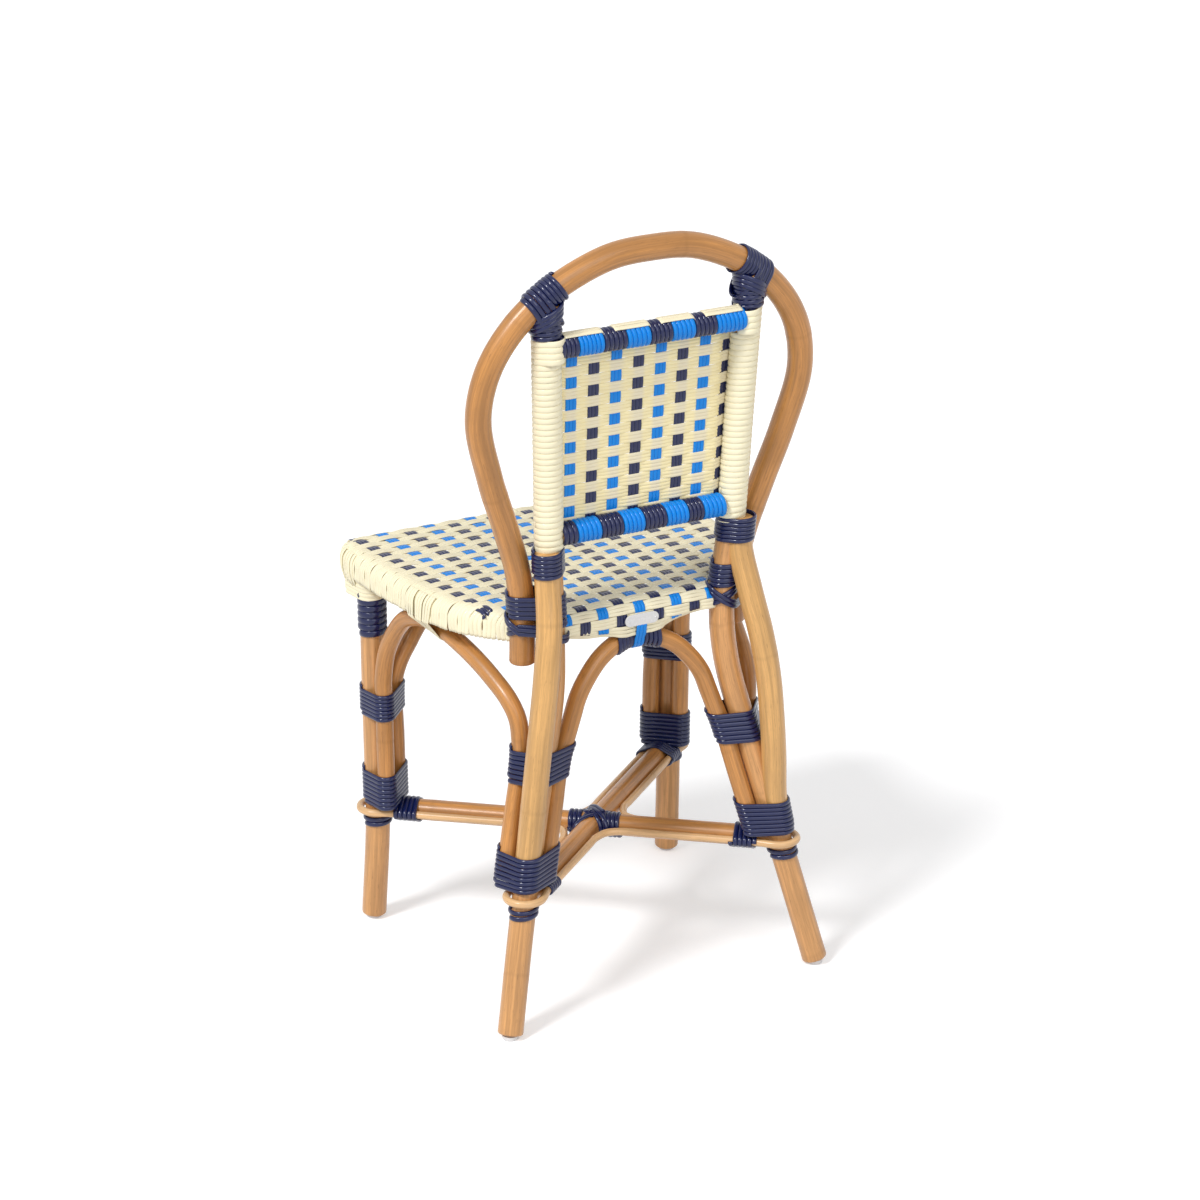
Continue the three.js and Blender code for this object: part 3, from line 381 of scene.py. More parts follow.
def make_pole(name, key, node, line, size, sides=None, start=0.0, end=None, step=6.0, ease=2.5,
              tone=0.5):
    """A round pole with eased ends and a slight swelling at each joint of the cane."""
    radius = mm(size) / 2
    sides = sides or bpy.context.scene.chair_sizes.pole_sides
    end = line.length if end is None else end
    body = np.linspace(start + ease, end - ease, max(2, int((end - start) / step)))
    turns = np.radians((0, 30, 60))
    offsets = ease * (1 - np.cos(turns))
    eased = 1 - ease / radius * (1 - np.sin(turns))
    knots = (body + tone * 160) % CANE_JOINT_GAP - 100
    swells = 1 + CANE_JOINT_SWELL * np.exp(-(knots / CANE_JOINT_LENGTH) ** 2)
    reaches = np.concatenate((start + offsets, body, (end - offsets)[::-1]))
    scales = np.concatenate((eased, swells, eased[::-1]))
    round_turns = np.arange(sides) * 2 * math.pi / sides
    section = radius * np.stack([np.cos(round_turns), np.sin(round_turns)], -1)
    places = line.at(reaches)
    piece = Piece()
    piece.sweep(section, places, carried_normals(places), tone, scales)
    piece.finish(name, key, node)


# ---------------------------------------------------------------- windings

# A bundle's members are read in a plane across it: the plane's origin and its three ways, and
# each member's centre, how its round section stretches where the plane cuts it, and its radius.

def cut_at(a, b):
    return np.linalg.inv([[1 - a * a, -a * b], [-a * b, 1 - b * b]])


def level_members(bundle):
    """The section that a level plane cuts from each pole of a bundle, at any height."""
    def members(height):
        rows = []
        for line, radius in bundle:
            reach = line.reach_at(height)
            rows.append((line.at(reach)[:2], cut_at(*line.heading(reach)[:2]), radius))
        return np.array([0.0, 0.0, height]), (X_AXIS, Y_AXIS, Z_AXIS), rows
    return members


def line_members(line, spots):
    """Round members at fixed places beside a line, in sections square to it."""
    rows = [(np.array([a, b], float), np.eye(2), radius) for a, b, radius in spots]

    def members(reach):
        along = line.heading(reach)
        across = unit(aside(along))
        return line.at(reach), (across, np.cross(along, across), along), rows
    return members


def tilted_members(point, along, bundle):
    """The sections that a tilted plane cuts from poles that pass near a point."""
    along = unit(np.array(along, float))
    up = unit(Y_AXIS - along * along[1])
    across = np.cross(up, along)
    nearby = []
    for line, radius in bundle:
        reaches = np.arange(0, line.length + 1, 2.0)
        places = line.at(reaches)
        near = np.linalg.norm(places - point, axis=1) < 70
        nearby.append((line, radius, reaches[near], places[near]))

    def members(spot):
        origin = point + along * spot
        rows = []
        for line, radius, reaches, places in nearby:
            gaps = (places - origin) @ along
            order = np.argsort(gaps)
            reach = float(np.interp(0.0, gaps[order], reaches[order]))
            way = line.heading(min(max(reach, 4), line.length - 4))
            offset = line.at(reach) - origin
            rows.append((np.array([offset @ across, offset @ up]),
                         cut_at(way @ across, way @ up), radius))
        return origin, (across, up, along), rows
    return members


def support(member, turn):
    """How far out a member reaches in one direction, and the place where it does."""
    centre, spread, radius = member
    out = np.array([math.cos(turn), math.sin(turn)])
    pull = spread @ out
    size = math.sqrt(out @ pull)
    return out @ centre + radius * size, centre + radius * pull / size


def hull_stops(rows, parts):
    """Turns round a bundle, each with the member that carries the strand there."""
    def carrier(turn):
        return max(range(len(rows)), key=lambda k: support(rows[k], turn)[0])

    turns = [2 * math.pi * i / parts for i in range(parts + 1)]
    last = carrier(0.0)
    stops = [(0.0, last)]
    for low, high in zip(turns, turns[1:]):
        after = carrier(high)
        if after != last:
            a, b = low, high
            for _ in range(12):
                middle = (a + b) / 2
                a, b = (middle, b) if carrier(middle) == last else (a, middle)
            stops += [(b, last), (b, after)]
        if high < turns[-1]:
            stops.append((high, after))
        last = after
    return stops


def carried_spot(plane, turn, k, lift):
    """Where a strand lies on one member of a bundle at one turn, and how it faces."""
    origin, (across, up, _), rows = plane
    centre, spread, radius = rows[k]
    _, (u, v) = support((centre, spread, radius + lift), turn)
    return origin + across * u + up * v, across * math.cos(turn) + up * math.sin(turn)


def wind(piece, members, low, high, turns, depth, width=None, tone=0.5, parts=34, lift=0.0,
         jitter=0.12, seed=1):
    """Winds one strand round a bundle, from one place along it to another."""
    rng = np.random.default_rng(seed)
    pitch = (high - low) / turns
    rows = members((low + high) / 2)[2]
    stops = hull_stops(rows, parts)
    hull = [support(rows[k], turn)[1] for turn, k in stops]
    reaches = reaches_along([*hull, hull[0]])
    shares = reaches[:-1] / reaches[-1]
    wobble = rng.normal(0, jitter, (turns + 2, 2))
    spots = []
    for i in range(turns * len(stops) + 1):
        turns_done = i // len(stops) + shares[i % len(stops)]
        whole = int(turns_done)
        blend = 0.5 - 0.5 * math.cos(math.pi * (turns_done - whole))
        drift, rise = wobble[whole] * (1 - blend) + wobble[whole + 1] * blend
        spots.append(carried_spot(members(low + pitch * turns_done + drift * 0.6),
                                  *stops[i % len(stops)], depth / 2 + lift + abs(rise) * 0.7))
    piece.lay(CORD_OUTLINE, width or pitch, depth, spots, tone)


def ring(piece, members, spot, depth, width, slant=(0.0, 0.0), lift=0.0, tone=0.5, parts=34):
    """One closed turn round a bundle, level or slanted."""
    spots = [carried_spot(members(spot + slant[0] * math.cos(turn - slant[1])), turn, k,
                          depth / 2 + lift)
             for turn, k in hull_stops(members(spot)[2], parts)]
    piece.lay(CORD_OUTLINE, width, depth, spots, tone, ring=True)


# ---------------------------------------------------------------- finishes

class Value:
    """A socket that takes part in sums."""

    def __init__(self, finish, socket):
        self.finish = finish
        self.socket = socket

    def __add__(self, other):
        return self.finish.maths("ADD", self, other)

    __radd__ = __add__

    def __sub__(self, other):
        return self.finish.maths("SUBTRACT", self, other)

    def __rsub__(self, other):
        return self.finish.maths("SUBTRACT", other, self)

    def __mul__(self, other):
        return self.finish.maths("MULTIPLY", self, other)

    __rmul__ = __mul__

    def __truediv__(self, other):
        return self.finish.maths("DIVIDE", self, other)

    def __abs__(self):
        return self.finish.maths("ABSOLUTE", self)

    def fraction(self):
        return self.finish.maths("FRACT", self)

    def ramp(self, low, high):
        """0 at low and 1 at high, eased between."""
        return self.finish.value("ShaderNodeMapRange", {"interpolation_type": "SMOOTHSTEP"},
                                 {"Value": self, "From Min": low, "From Max": high})


class Finish:
    """The nodes of a material, or of the world."""

    def __init__(self, owner):
        self.owner = owner
        owner.use_nodes = True
        self.tree = owner.node_tree
        self.tree.nodes.clear()

    def node(self, kind, settings=None, sockets=None):
        node = self.tree.nodes.new(kind)
        for key, value in (settings or {}).items():
            setattr(node, key, value)
        for key, value in (sockets or {}).items():
            if isinstance(value, Value):
                value = value.socket
            if isinstance(value, bpy.types.NodeSocket):
                self.tree.links.new(value, node.inputs[key])
            else:
                node.inputs[key].default_value = value
        return node

    def value(self, kind, settings=None, sockets=None, output=0):
        return Value(self, self.node(kind, settings, sockets).outputs[output])

    def maths(self, operation, *terms):
        return self.value("ShaderNodeMath", {"operation": operation}, dict(enumerate(terms)))

    def attribute(self, name):
        return self.value("ShaderNodeAttribute", {"attribute_name": name}, output=2)

    def object_place(self):
        return self.node("ShaderNodeTexCoord").outputs["Object"]

    def unrolled(self):
        """Where a point lies round its strand's section and along the strand, in metres."""
        uv = self.node("ShaderNodeUVMap").outputs[0]
        split = self.node("ShaderNodeSeparateXYZ", sockets={0: uv})
        return [Value(self, out) for out in split.outputs[:2]]

    def noise(self, vector, scale, detail, roughness):
        return self.value("ShaderNodeTexNoise",
                          sockets={"Vector": vector, "Scale": scale, "Detail": detail,
                                   "Roughness": roughness})

    def streaks(self, around, along, shift, detail, roughness):
        """Noise over a place that is already stretched round and along the strand."""
        place = self.node("ShaderNodeCombineXYZ", sockets={0: around, 1: along, 2: shift})
        return self.noise(place.outputs[0], 1.0, detail, roughness)

    def mix(self, share, first, second):
        return self.node("ShaderNodeMix", {"data_type": "RGBA"},
                         {0: share, 6: first, 7: second}).outputs[2]

    def bump(self, height, distance, strength):
        return self.node("ShaderNodeBump", sockets={"Height": height, "Distance": distance,
                                                    "Strength": strength}).outputs[0]

    def surface(self, sockets):
        shader = self.node("ShaderNodeBsdfPrincipled", sockets=sockets)
        self.node("ShaderNodeOutputMaterial", sockets={"Surface": shader.outputs[0]})
        return self.owner

    def lit_or_seen(self, lit, seen, output):
        """One shader for the light that falls, another for what camera and gloss see."""
        path = self.node("ShaderNodeLightPath")
        rays = self.maths("MAXIMUM", path.outputs["Is Camera Ray"], path.outputs["Is Glossy Ray"])
        pick = self.node("ShaderNodeMixShader",
                         sockets={0: rays, 1: lit.outputs[0], 2: seen.outputs[0]})
        self.node(output, sockets={"Surface": pick.outputs[0]})
        return self.owner


def paint(colour, factor=1.0):
    """A property's colour in the renderer's own terms, lighter or darker by a factor."""
    linear = Color(colour[:]).from_srgb_to_scene_linear()
    return (*(min(1.0, channel * factor) for channel in linear), 1.0)


def rattan_finish(name, colour, seed, depth=1.0):
    """Peeled cane: long fibres, faint joints, small dark flecks and a clear satin coat."""
    finish = Finish(bpy.data.materials.new(name))
    around, along = finish.unrolled()
    tone = finish.attribute("tone")
    shift = tone * 31 + seed
    fine = finish.streaks(around * 1900, along * 34, shift, 3.0, 0.6)
    long = finish.streaks(around * 230, along * 7, shift + 9, 4.0, 0.62)
    cloud = finish.noise(finish.object_place(), 15.0, 3.0, 0.5)
    flecks = finish.streaks(around * 1300, along * 85, shift + 4, 2.0, 0.5).ramp(0.62, 0.74)
    waver = finish.streaks(around * 60, along * 8, shift, 1.0, 0.5)
    joint = (along + waver * 0.006 + tone * 0.16) / (CANE_JOINT_GAP * METRES)
    joints = 1 - abs(joint.fraction() - 0.5).ramp(0.0, 0.02)
    body = finish.mix(long.ramp(0.30, 0.70), paint(colour, 1 - 0.32 * depth),
                      paint(colour, 1.18))
    for share, factor in ((fine.ramp(0.35, 0.7) * 0.52, 0.66),
                          (cloud.ramp(0.42, 0.72) * 0.42 * depth, 0.64),
                          (flecks * 0.55, 0.40), (joints * 0.16, 0.45)):
        body = finish.mix(share, body, paint(colour, factor))
    height = long * 0.6 + fine * 0.3 - flecks * 0.3 - joints * 0.5
    rough = 0.34 + fine * 0.12 + joints * 0.1
    return finish.surface({"Base Color": body, "Roughness": rough, "Coat Weight": 0.35,
                           "Coat Roughness": 0.20, "Specular IOR Level": 0.4,
                           "Normal": finish.bump(height, 0.00025, 0.55)})


def strand_finish(name, colour, roughness, coat, streak, painted_over_shade=None):
    """Extruded strand: faint lines along its length, a sheen from its coat, and where given,
    painted shade over dark columns.
    """
    finish = Finish(bpy.data.materials.new(name))
    around, along = finish.unrolled()
    tone = finish.attribute("tone")
    lines = finish.streaks(around * 1900, along * 9, tone * 57, 2.0, 0.5)
    patch = finish.streaks(around * 60, along * 55, tone * 23, 2.0, 0.5)
    dark = paint(colour, 1 - streak)
    body = finish.mix(lines.ramp(0.3, 0.7), dark, paint(colour, 1 + streak))
    body = finish.mix(tone.ramp(0.0, 1.0), finish.mix(0.5, body, dark), body)
    # painted shade: a strip is greyer where it lies over a dark column, by its 'over' share
    if painted_over_shade:
        body = finish.mix(finish.attribute("over"), body, paint(painted_over_shade))
    return finish.surface({"Base Color": body, "Roughness": roughness + patch * 0.12,
                           "Coat Weight": coat, "Coat Roughness": 0.07,
                           "Specular IOR Level": 0.25,
                           "Normal": finish.bump(lines * 0.35 + patch * 0.65, 0.00018, 0.35)})


def smooth_finish(name, colour, roughness):
    """Moulded plastic with a barely uneven skin."""
    finish = Finish(bpy.data.materials.new(name))
    skin = finish.noise(finish.object_place(), 240.0, 3.0, 0.6)
    body = finish.mix(skin.ramp(0.3, 0.7), paint(colour, 0.985), paint(colour, 1.01))
    return finish.surface({"Base Color": body, "Roughness": roughness + skin * 0.1,
                           "Normal": finish.bump(skin, 0.0001, 0.3)})


# Each finish: its slot, its maker, the material's name, its colour, and what its maker takes.
FINISHES = {
    "honey": ("honey_rattan", rattan_finish, "Honey rattan", "honey", 1),
    "chestnut": ("chestnut_rattan", rattan_finish, "Chestnut rattan", "chestnut", 5, 1.1),
    "straw": ("straw_rattan", rattan_finish, "Straw rattan", "straw", 8, 0.7),
    "rod": ("straw_rattan", rattan_finish, "Thin rod rattan", "rod", 12, 0.7),
    "cream": ("cream_strand", strand_finish, "Cream strand", "cream", 0.36, 0.12, 0.05),
    # the last colour of these two finishes is painted shade, for a strip lying over a dark column
    "woven": ("cream_strand", strand_finish, "Woven cream strip", "cream", 0.40, 0.10, 0.06,
              (0.86, 0.82, 0.72)),
    # painted backlight: the back's strips in a warmer, brighter cream, with painted shade over the
    # columns
    "backlit": ("cream_strand", strand_finish, "Back cream strip", "backlit", 0.40, 0.10, 0.06,
                (0.915, 0.875, 0.775)),
    "navy": ("navy_strand", strand_finish, "Navy strand", "navy", 0.30, 0.60, 0.12),
    "blue": ("blue_strand", strand_finish, "Blue strand", "blue", 0.30, 0.16, 0.07),
    "glide": ("glide_plastic", smooth_finish, "Glide plastic", "white", 0.45),
    "plate": ("label_plate", smooth_finish, "Plate plastic", "white", 0.22),
}
MADE = {}


def finish_for(key):
    """A finish's slot and its material, which is made when it is first asked for."""
    slot, maker, name, colour, *looks = FINISHES[key]
    if key not in MADE:
        MADE[key] = maker(name, getattr(bpy.context.scene.chair_colours, colour), *looks)
    return slot, MADE[key]


class Step:
    """What the chair's operators share."""
    bl_options = {"REGISTER", "UNDO"}

    @classmethod
    def poll(cls, context):
        return hasattr(context.scene, "chair_sizes")


# ---------------------------------------------------------------- poles

GLIDE_HEIGHT = 4.8
RAIL_SIDES, ROD_SIDES = 20, 14


class CHAIR_OT_poles(Step, bpy.types.Operator):
    """Sweeps the legs and back posts, and the hoop round the back"""
    bl_idname = "chair.poles"
    bl_label = "Poles and Hoop"

    def execute(self, context):
        for number, (side, sign) in enumerate(SIDES):
            for pole, line, tone in (("rear_pole", sided(REAR_POLE, sign), 0.2 + number * 0.37),
                                     ("front_leg", sided(FRONT_LEG, sign), 0.75 - number * 0.4)):
                make_pole(f"cane_{pole}_{side}", "honey", f"{pole}_{side}", line, "pole",
                          start=line.reach_at(GLIDE_HEIGHT), tone=tone)
        make_pole("cane_hoop", "chestnut", "hoop", HOOP, "pole", step=5.0, tone=0.6)
        return {"FINISHED"}


class CHAIR_OT_braces(Step, bpy.types.Operator):
    """Sweeps the pale braces that bow away behind the rear legs"""
    bl_idname = "chair.braces"
    bl_label = "Rear Braces"

    def execute(self, context):
        for number, (side, sign) in enumerate(SIDES):
            make_pole(f"cane_brace_{side}", "straw", f"rear_brace_{side}", sided(BRACE, sign),
                      "pole", tone=0.1 + 0.5 * number)
        return {"FINISHED"}


class CHAIR_OT_arches(Step, bpy.types.Operator):
    """Sweeps the four arches under the seat"""
    bl_idname = "chair.arches"
    bl_label = "Arches"

    def execute(self, context):
        arches = {"side_arch_left": SIDE_ARCH, "side_arch_right": SIDE_ARCH.mirrored(),
                  "front_arch": FRONT_ARCH, "rear_arch": REAR_ARCH}
        for number, (node, line) in enumerate(arches.items()):
            make_pole(f"cane_{node}", "chestnut", node, line, "arch", step=5.0, ease=1.5,
                      tone=(0.15 + number * 0.31) % 1)
        return {"FINISHED"}


JOINTS = {"front_left": JOINT_FRONT, "rear_left": JOINT_BACK,
          "rear_right": JOINT_BACK * (-1, 1, 1), "front_right": JOINT_FRONT * (-1, 1, 1)}
CROSSING = JOINT_FRONT + ((JOINTS["rear_right"] - JOINT_FRONT)
                          * JOINT_FRONT[0] / (JOINT_FRONT[0] - JOINTS["rear_right"][0]))


class CHAIR_OT_stretchers(Step, bpy.types.Operator):
    """Sweeps the crossed stretchers between the legs"""
    bl_idname = "chair.stretchers"
    bl_label = "Stretchers"

    def execute(self, context):
        rows = {"stretcher_through": (JOINTS["front_left"], JOINTS["rear_right"]),
                "stretcher_half_rear": (JOINTS["rear_left"], CROSSING),
                "stretcher_half_front": (JOINTS["front_right"], CROSSING)}
        for number, (node, ends) in enumerate(rows.items()):
            make_pole(f"cane_{node}", "chestnut", node, Line(ends), "stretcher",
                      tone=0.2 + 0.3 * number)
        return {"FINISHED"}


ROD_LANE = 16.55
ROD_RING = 20.25
ROD_BEND = 30
RING_MOUTH = 27
ROD_START, ROD_END = 38.7, 39.3
RING_TURNS = (0.5, 0.62, 0.8, 1, 1.2, 1.38, 1.5)
STRAIGHT_SHARES = (0, 0.25, 0.6, 0.9, 1)


def beside_stretcher(joint, reach, gap):
    """A place beside the stretcher that leaves a joint, at a reach from it."""
    inward = unit(CROSSING - joint)
    return joint + inward * reach + unit(aside(inward)) * gap


def foot_rod_line(joint, following):
    """One thin rod: round its leg, in beside its stretcher, and out to the next leg."""
    inward = CROSSING - joint
    heading = math.atan2(inward[1], inward[0])
    one, other = unit(joint - CROSSING), unit(following - CROSSING)
    half = math.acos(float(one @ other)) / 2
    bend = (ROD_BEND + ROD_LANE) / math.tan(half)
    size, next_size = np.linalg.norm(inward), np.linalg.norm(following - CROSSING)
    points = [beside_stretcher(joint, reach, ROD_LANE) for reach in (ROD_START, RING_MOUTH)]
    for share in RING_TURNS:
        turn = heading + share * math.pi
        points.append(joint + ROD_RING * np.array([math.cos(turn), math.sin(turn), 0]))
    for share in STRAIGHT_SHARES:
        reach = RING_MOUTH + share * (size - bend - RING_MOUTH)
        points.append(beside_stretcher(joint, reach, -ROD_LANE))
    ends = (beside_stretcher(joint, size - bend, 0)
            + beside_stretcher(following, next_size - bend, 0)) / 2
    corner = (ROD_BEND + ROD_LANE) / math.sin(half) - ROD_BEND
    points.append(CROSSING + unit(ends - CROSSING) * corner)
    for share in reversed(STRAIGHT_SHARES):
        reach = ROD_END + share * (next_size - bend - 39)
        points.append(beside_stretcher(following, reach, ROD_LANE))
    return Line(points)


class CHAIR_OT_rods(Step, bpy.types.Operator):
    """Sweeps the four thin rods that loop round the legs and run along the stretchers"""
    bl_idname = "chair.rods"
    bl_label = "Thin Rods"

    def execute(self, context):
        names = list(JOINTS)
        for number, name in enumerate(names):
            line = foot_rod_line(JOINTS[name], JOINTS[names[(number + 1) % 4]])
            make_pole(f"cane_rod_{name}", "rod", f"foot_rod_{name}", line, "rod", ROD_SIDES,
                      step=3.5, ease=1.0, tone=0.1 + 0.27 * number)
        return {"FINISHED"}


class CHAIR_OT_seat_frame(Step, bpy.types.Operator):
    """Sweeps the pole that carries the seat's edge, and the rail behind it"""
    bl_idname = "chair.seat_frame"
    bl_label = "Seat Frame"

    def execute(self, context):
        rail = Line([(97, RAIL_BACK, RAIL_HEIGHT), (-97, RAIL_BACK, RAIL_HEIGHT)])
        make_pole("cane_seat_frame", "straw", "seat_frame", SEAT_FRAME, "seat_rail", RAIL_SIDES,
                  step=7.0, tone=0.3)
        make_pole("cane_seat_rear_rail", "straw", "seat_rear_rail", rail, "seat_rail",
                  RAIL_SIDES, tone=0.8)
        return {"FINISHED"}


# ---------------------------------------------------------------- woven seat

ROLL = 15.2             # from the seat pole's axis to the weave over it
SKIRT = 40.5            # how far a strip runs over the edge before it ends
ROW_START, ROW_PITCH, ROW_LANE = 0.3, 12.2, 3.9
COLUMN_LANE = 4.15
WEFT_SWING, WARP_SWING = 1.1, 0.9
FLAT_ROWS, FRONT_ROWS, REAR_ROWS = range(-2, 22), range(-6, -2), range(22, 26)
COLUMNS, WIDEST_TO_REAR = range(-7, 8), 4
WEAVE_FRONT, WEAVE_BACK = -36, 266
LAST_ROW_END = 119.0
REAR_EDGE_END = 94
GATHER_HALF = 31        # half the width that the apron is gathered over at its middle
EDGE_CALM = 14          # how far from its end a row's swings fade
WEFT_STEP, WARP_STEP, EDGE_STEP, SKIRT_STEP = 4.6, 3.05, 3.3, 3.0
SIDE_DEPTH = 60         # the columns can meet the seat's sides from this depth on


def column_x(k, y):
    """Where a coloured column of the seat lies at a depth."""
    front = 21.4 * k + 0.696 * k * abs(k)
    back = 22.65 * k - 0.07 * k * abs(k)
    return front + (back - front) * y / 250


def column_number(x, y):
    """Which column, in parts, lies at a place on the seat."""
    ks = np.arange(-9, 10)
    return np.interp(x, [column_x(k, y) for k in ks], ks)


def rail_edge():
    """The seat pole's axis on the sitter's left, and the level way out from it."""
    reaches = np.linspace(0, SEAT_FRAME.length / 2, 140)
    ways = [SEAT_FRAME.heading(min(max(r, 4), SEAT_FRAME.length - 4)) for r in reaches]
    return SEAT_FRAME.at(reaches), np.array([aside(way) for way in ways])


RAIL_AXIS, RAIL_OUT = rail_edge()
EDGE = RAIL_AXIS + RAIL_OUT * ROLL


def side_x(y, rows=RAIL_AXIS):
    """How far out a line over the left side lies at a depth."""
    inside = rows[rows[:, 0] > 60]
    order = np.argsort(inside[:, 1])
    return float(np.interp(y, inside[order, 1], inside[order, 0]))


def out_at(y):
    order = np.argsort(RAIL_AXIS[:, 1])
    return unit(np.array([np.interp(y, RAIL_AXIS[order, 1], RAIL_OUT[order, k])
                          for k in range(3)]))


def edge_spot(axis, out, run, swing, carry=None):
    """Where a strand lies that has run over the seat's edge, and how it faces."""
    turn = min(run / ROLL, math.pi / 2)
    drop = max(0.0, run - ROLL * math.pi / 2)
    tuck = max(0.0, run - SKIRT + 4) * 0.3
    size = ROLL + swing - tuck
    place = axis + (out if carry is None else carry) * size * math.sin(turn)
    return (place + Z_AXIS * (size * math.cos(turn) - drop),
            out * math.sin(turn) + Z_AXIS * math.cos(turn))


def apron_rise(x):
    """How much higher than at its middle the lower edge of the rear apron lies."""
    return float(np.interp(x, (-94, -64, -43, -27, -14, 18, 39, 60, 94),
                           (11.5, 9.5, 5.0, 1.0, -1.2, -1.5, 1.5, 3.6, 8.5)))


def row_depth(number, lane):
    return ROW_START + ROW_PITCH * number + lane * ROW_LANE


def row_parity(number):
    return -1 if number % 2 else 1


def weft_row(number, rng):
    """One cream row of the flat seat: the spots, painted-shade cover over the columns and widths
    of each of its strips.
    """
    parity = row_parity(number)
    strips = []
    for lane in LANES:
        depth = row_depth(number, lane)
        end, spread = LAST_ROW_END, 0
        if number < FLAT_ROWS[-1]:
            end = side_x(depth)
            spread = side_x(depth, EDGE) - end
            if depth < RAIL_FRONT + 12:
                spread = max(ROLL, spread)
        xs = np.linspace(-end, end, int(2 * end / WEFT_STEP) | 1)
        calm = np.clip((end - np.abs(xs)) / EDGE_CALM, 0, 1) if spread else 1
        swings = (WEFT_SWING * parity * np.cos(math.pi * column_number(xs, depth)) * calm
                  + rng.normal(0, 0.07))
        spots = [((x, depth, RAIL_HEIGHT + ROLL + s), Z_AXIS) for x, s in zip(xs, swings)]
        # painted shade: cover is how far the strip rises over a column, where it is drawn greyer
        cover = list(np.clip(swings, 0, None) / WEFT_SWING)
        scales = 1.0
        if spread:
            out = out_at(depth)
            runs = np.arange(3.2, SKIRT, EDGE_STEP)
            for sign in (1, -1):
                rise, drift = rng.normal(0.25, 0.18), rng.normal(0, 0.28)
                start = np.array([sign * end, depth, RAIL_HEIGHT])
                turned = []
                for run in runs:
                    swing = rise + 0.4 * parity * math.cos(math.pi * run / 13)
                    place, face = edge_spot(start, out * (sign, 1, 1), run, swing,
                                            sign * X_AXIS * spread / ROLL)
                    turned.append((place + Y_AXIS * drift * min(1, run / 30), face))
                spots = spots + turned if sign > 0 else turned[::-1] + spots
            cover = [0.0] * len(runs) + cover + [0.0] * len(runs)
            widen = 1.05 * min(1.35, 1 / max(0.6, abs(out[0])))
            ramp = np.clip((len(runs) + 2 - np.arange(len(spots))) / 4, 0, 1)
            scales = 1 + (widen - 1) * np.maximum(ramp, ramp[::-1])
        strips.append((spots, cover, scales))
    return strips


def rear_strip(number, lane):
    """One cream strip along the rounded rear edge; the last row's are gathered in the middle."""
    run = row_depth(number, lane) - RAIL_BACK
    last = number == REAR_ROWS[-1]
    share = (0.3, 0.65, 1.0)[lane + 1] if last else 0.0
    xs = np.linspace(-REAR_EDGE_END, REAR_EDGE_END, 43)
    swings = WEFT_SWING * row_parity(number) * np.cos(math.pi * column_number(xs, 262))
    spots = []
    for x, swing in zip(xs, swings):
        rise = apron_rise(x)
        if last:
            swing -= 0.3 * max(0.0, rise) - 3.0 * share * clamp((GATHER_HALF - abs(x)) / 5)
        axis = np.array([x, RAIL_BACK, RAIL_HEIGHT + rise * share])
        spots.append(edge_spot(axis, Y_AXIS, run, swing))
    # the second value is the share of painted shade where the strip rises over a column
    return spots, np.clip(swings, 0, None) / WEFT_SWING


def front_strip(number, lane):
    """One cream strip along the rounded front edge, sunk where it turns the corners."""
    run = RAIL_FRONT - row_depth(number, lane)
    middle = SEAT_FRAME.length / 2
    spots, cover = [], []
    for reach in np.linspace(middle - 240, middle + 240, 121):
        axis = SEAT_FRAME.at(reach)
        corner = clamp((abs(reach - middle) - 178) / 46)
        swing = (WEFT_SWING * row_parity(number) * (1 - corner)
                 * math.cos(math.pi * float(column_number(axis[0], WEAVE_FRONT))))
        spots.append(edge_spot(axis, aside(SEAT_FRAME.heading(reach)),
                               run + corner * max(0.0, 30 - run) * 0.8, swing - 2.6 * corner))
        # painted shade share, where the strip rises over a column
        cover.append(max(0.0, swing) / WEFT_SWING)
    return spots, np.array(cover)


def warp_strip(k, lane):
    """One strip of a coloured column, from under the front edge to where the column ends."""
    def x_at(y):
        return column_x(k, min(max(y, WEAVE_FRONT), WEAVE_BACK)) + lane * COLUMN_LANE

    def swing(q):
        return WARP_SWING * math.cos(math.pi * ((q - ROW_START) / ROW_PITCH + 1 + k))

    axis = np.array([x_at(WEAVE_FRONT), RAIL_FRONT, RAIL_HEIGHT])
    spots = [edge_spot(axis, -Y_AXIS, RAIL_FRONT - q, swing(q))
             for q in np.arange(RAIL_FRONT - SKIRT, RAIL_FRONT, SKIRT_STEP)]
    to_rear = abs(k) <= WIDEST_TO_REAR
    y, stop = RAIL_FRONT, RAIL_BACK if to_rear else 262.0
    while y < stop and not (y > SIDE_DEPTH and abs(x_at(y)) > side_x(y)):
        spots.append(((x_at(y), y, RAIL_HEIGHT + ROLL + swing(y)), Z_AXIS))
        y += WARP_STEP
    if y < stop:
        spots += side_end(k, y, x_at, swing)
    elif to_rear:
        spots += rear_end(k, x_at(WEAVE_BACK), swing)
    return spots


def side_end(k, y, x_at, swing):
    """The end of a column that meets the seat pole's side, and goes down over it."""
    out = out_at(y) * (1 if k > 0 else -1, 1, 1)
    start = np.array([x_at(y), y, RAIL_HEIGHT])
    way = unit(np.array([x_at(y + 10) - x_at(y), 10.0, 0.0]))
    carry = way / max(0.35, float(way @ out))
    spots = []
    for run in np.arange(2.0, 24, 2.4):
        depth = y + carry[1] * ROLL * math.sin(min(run / ROLL, 1.5))
        height = 4 * swing(depth - min(3.0, run / 3))
        height = min(1.5, max(-1.3, height)) - 1.2 * max(0.0, run - 14)
        spots.append(edge_spot(start, out, run, height, carry))
    return spots


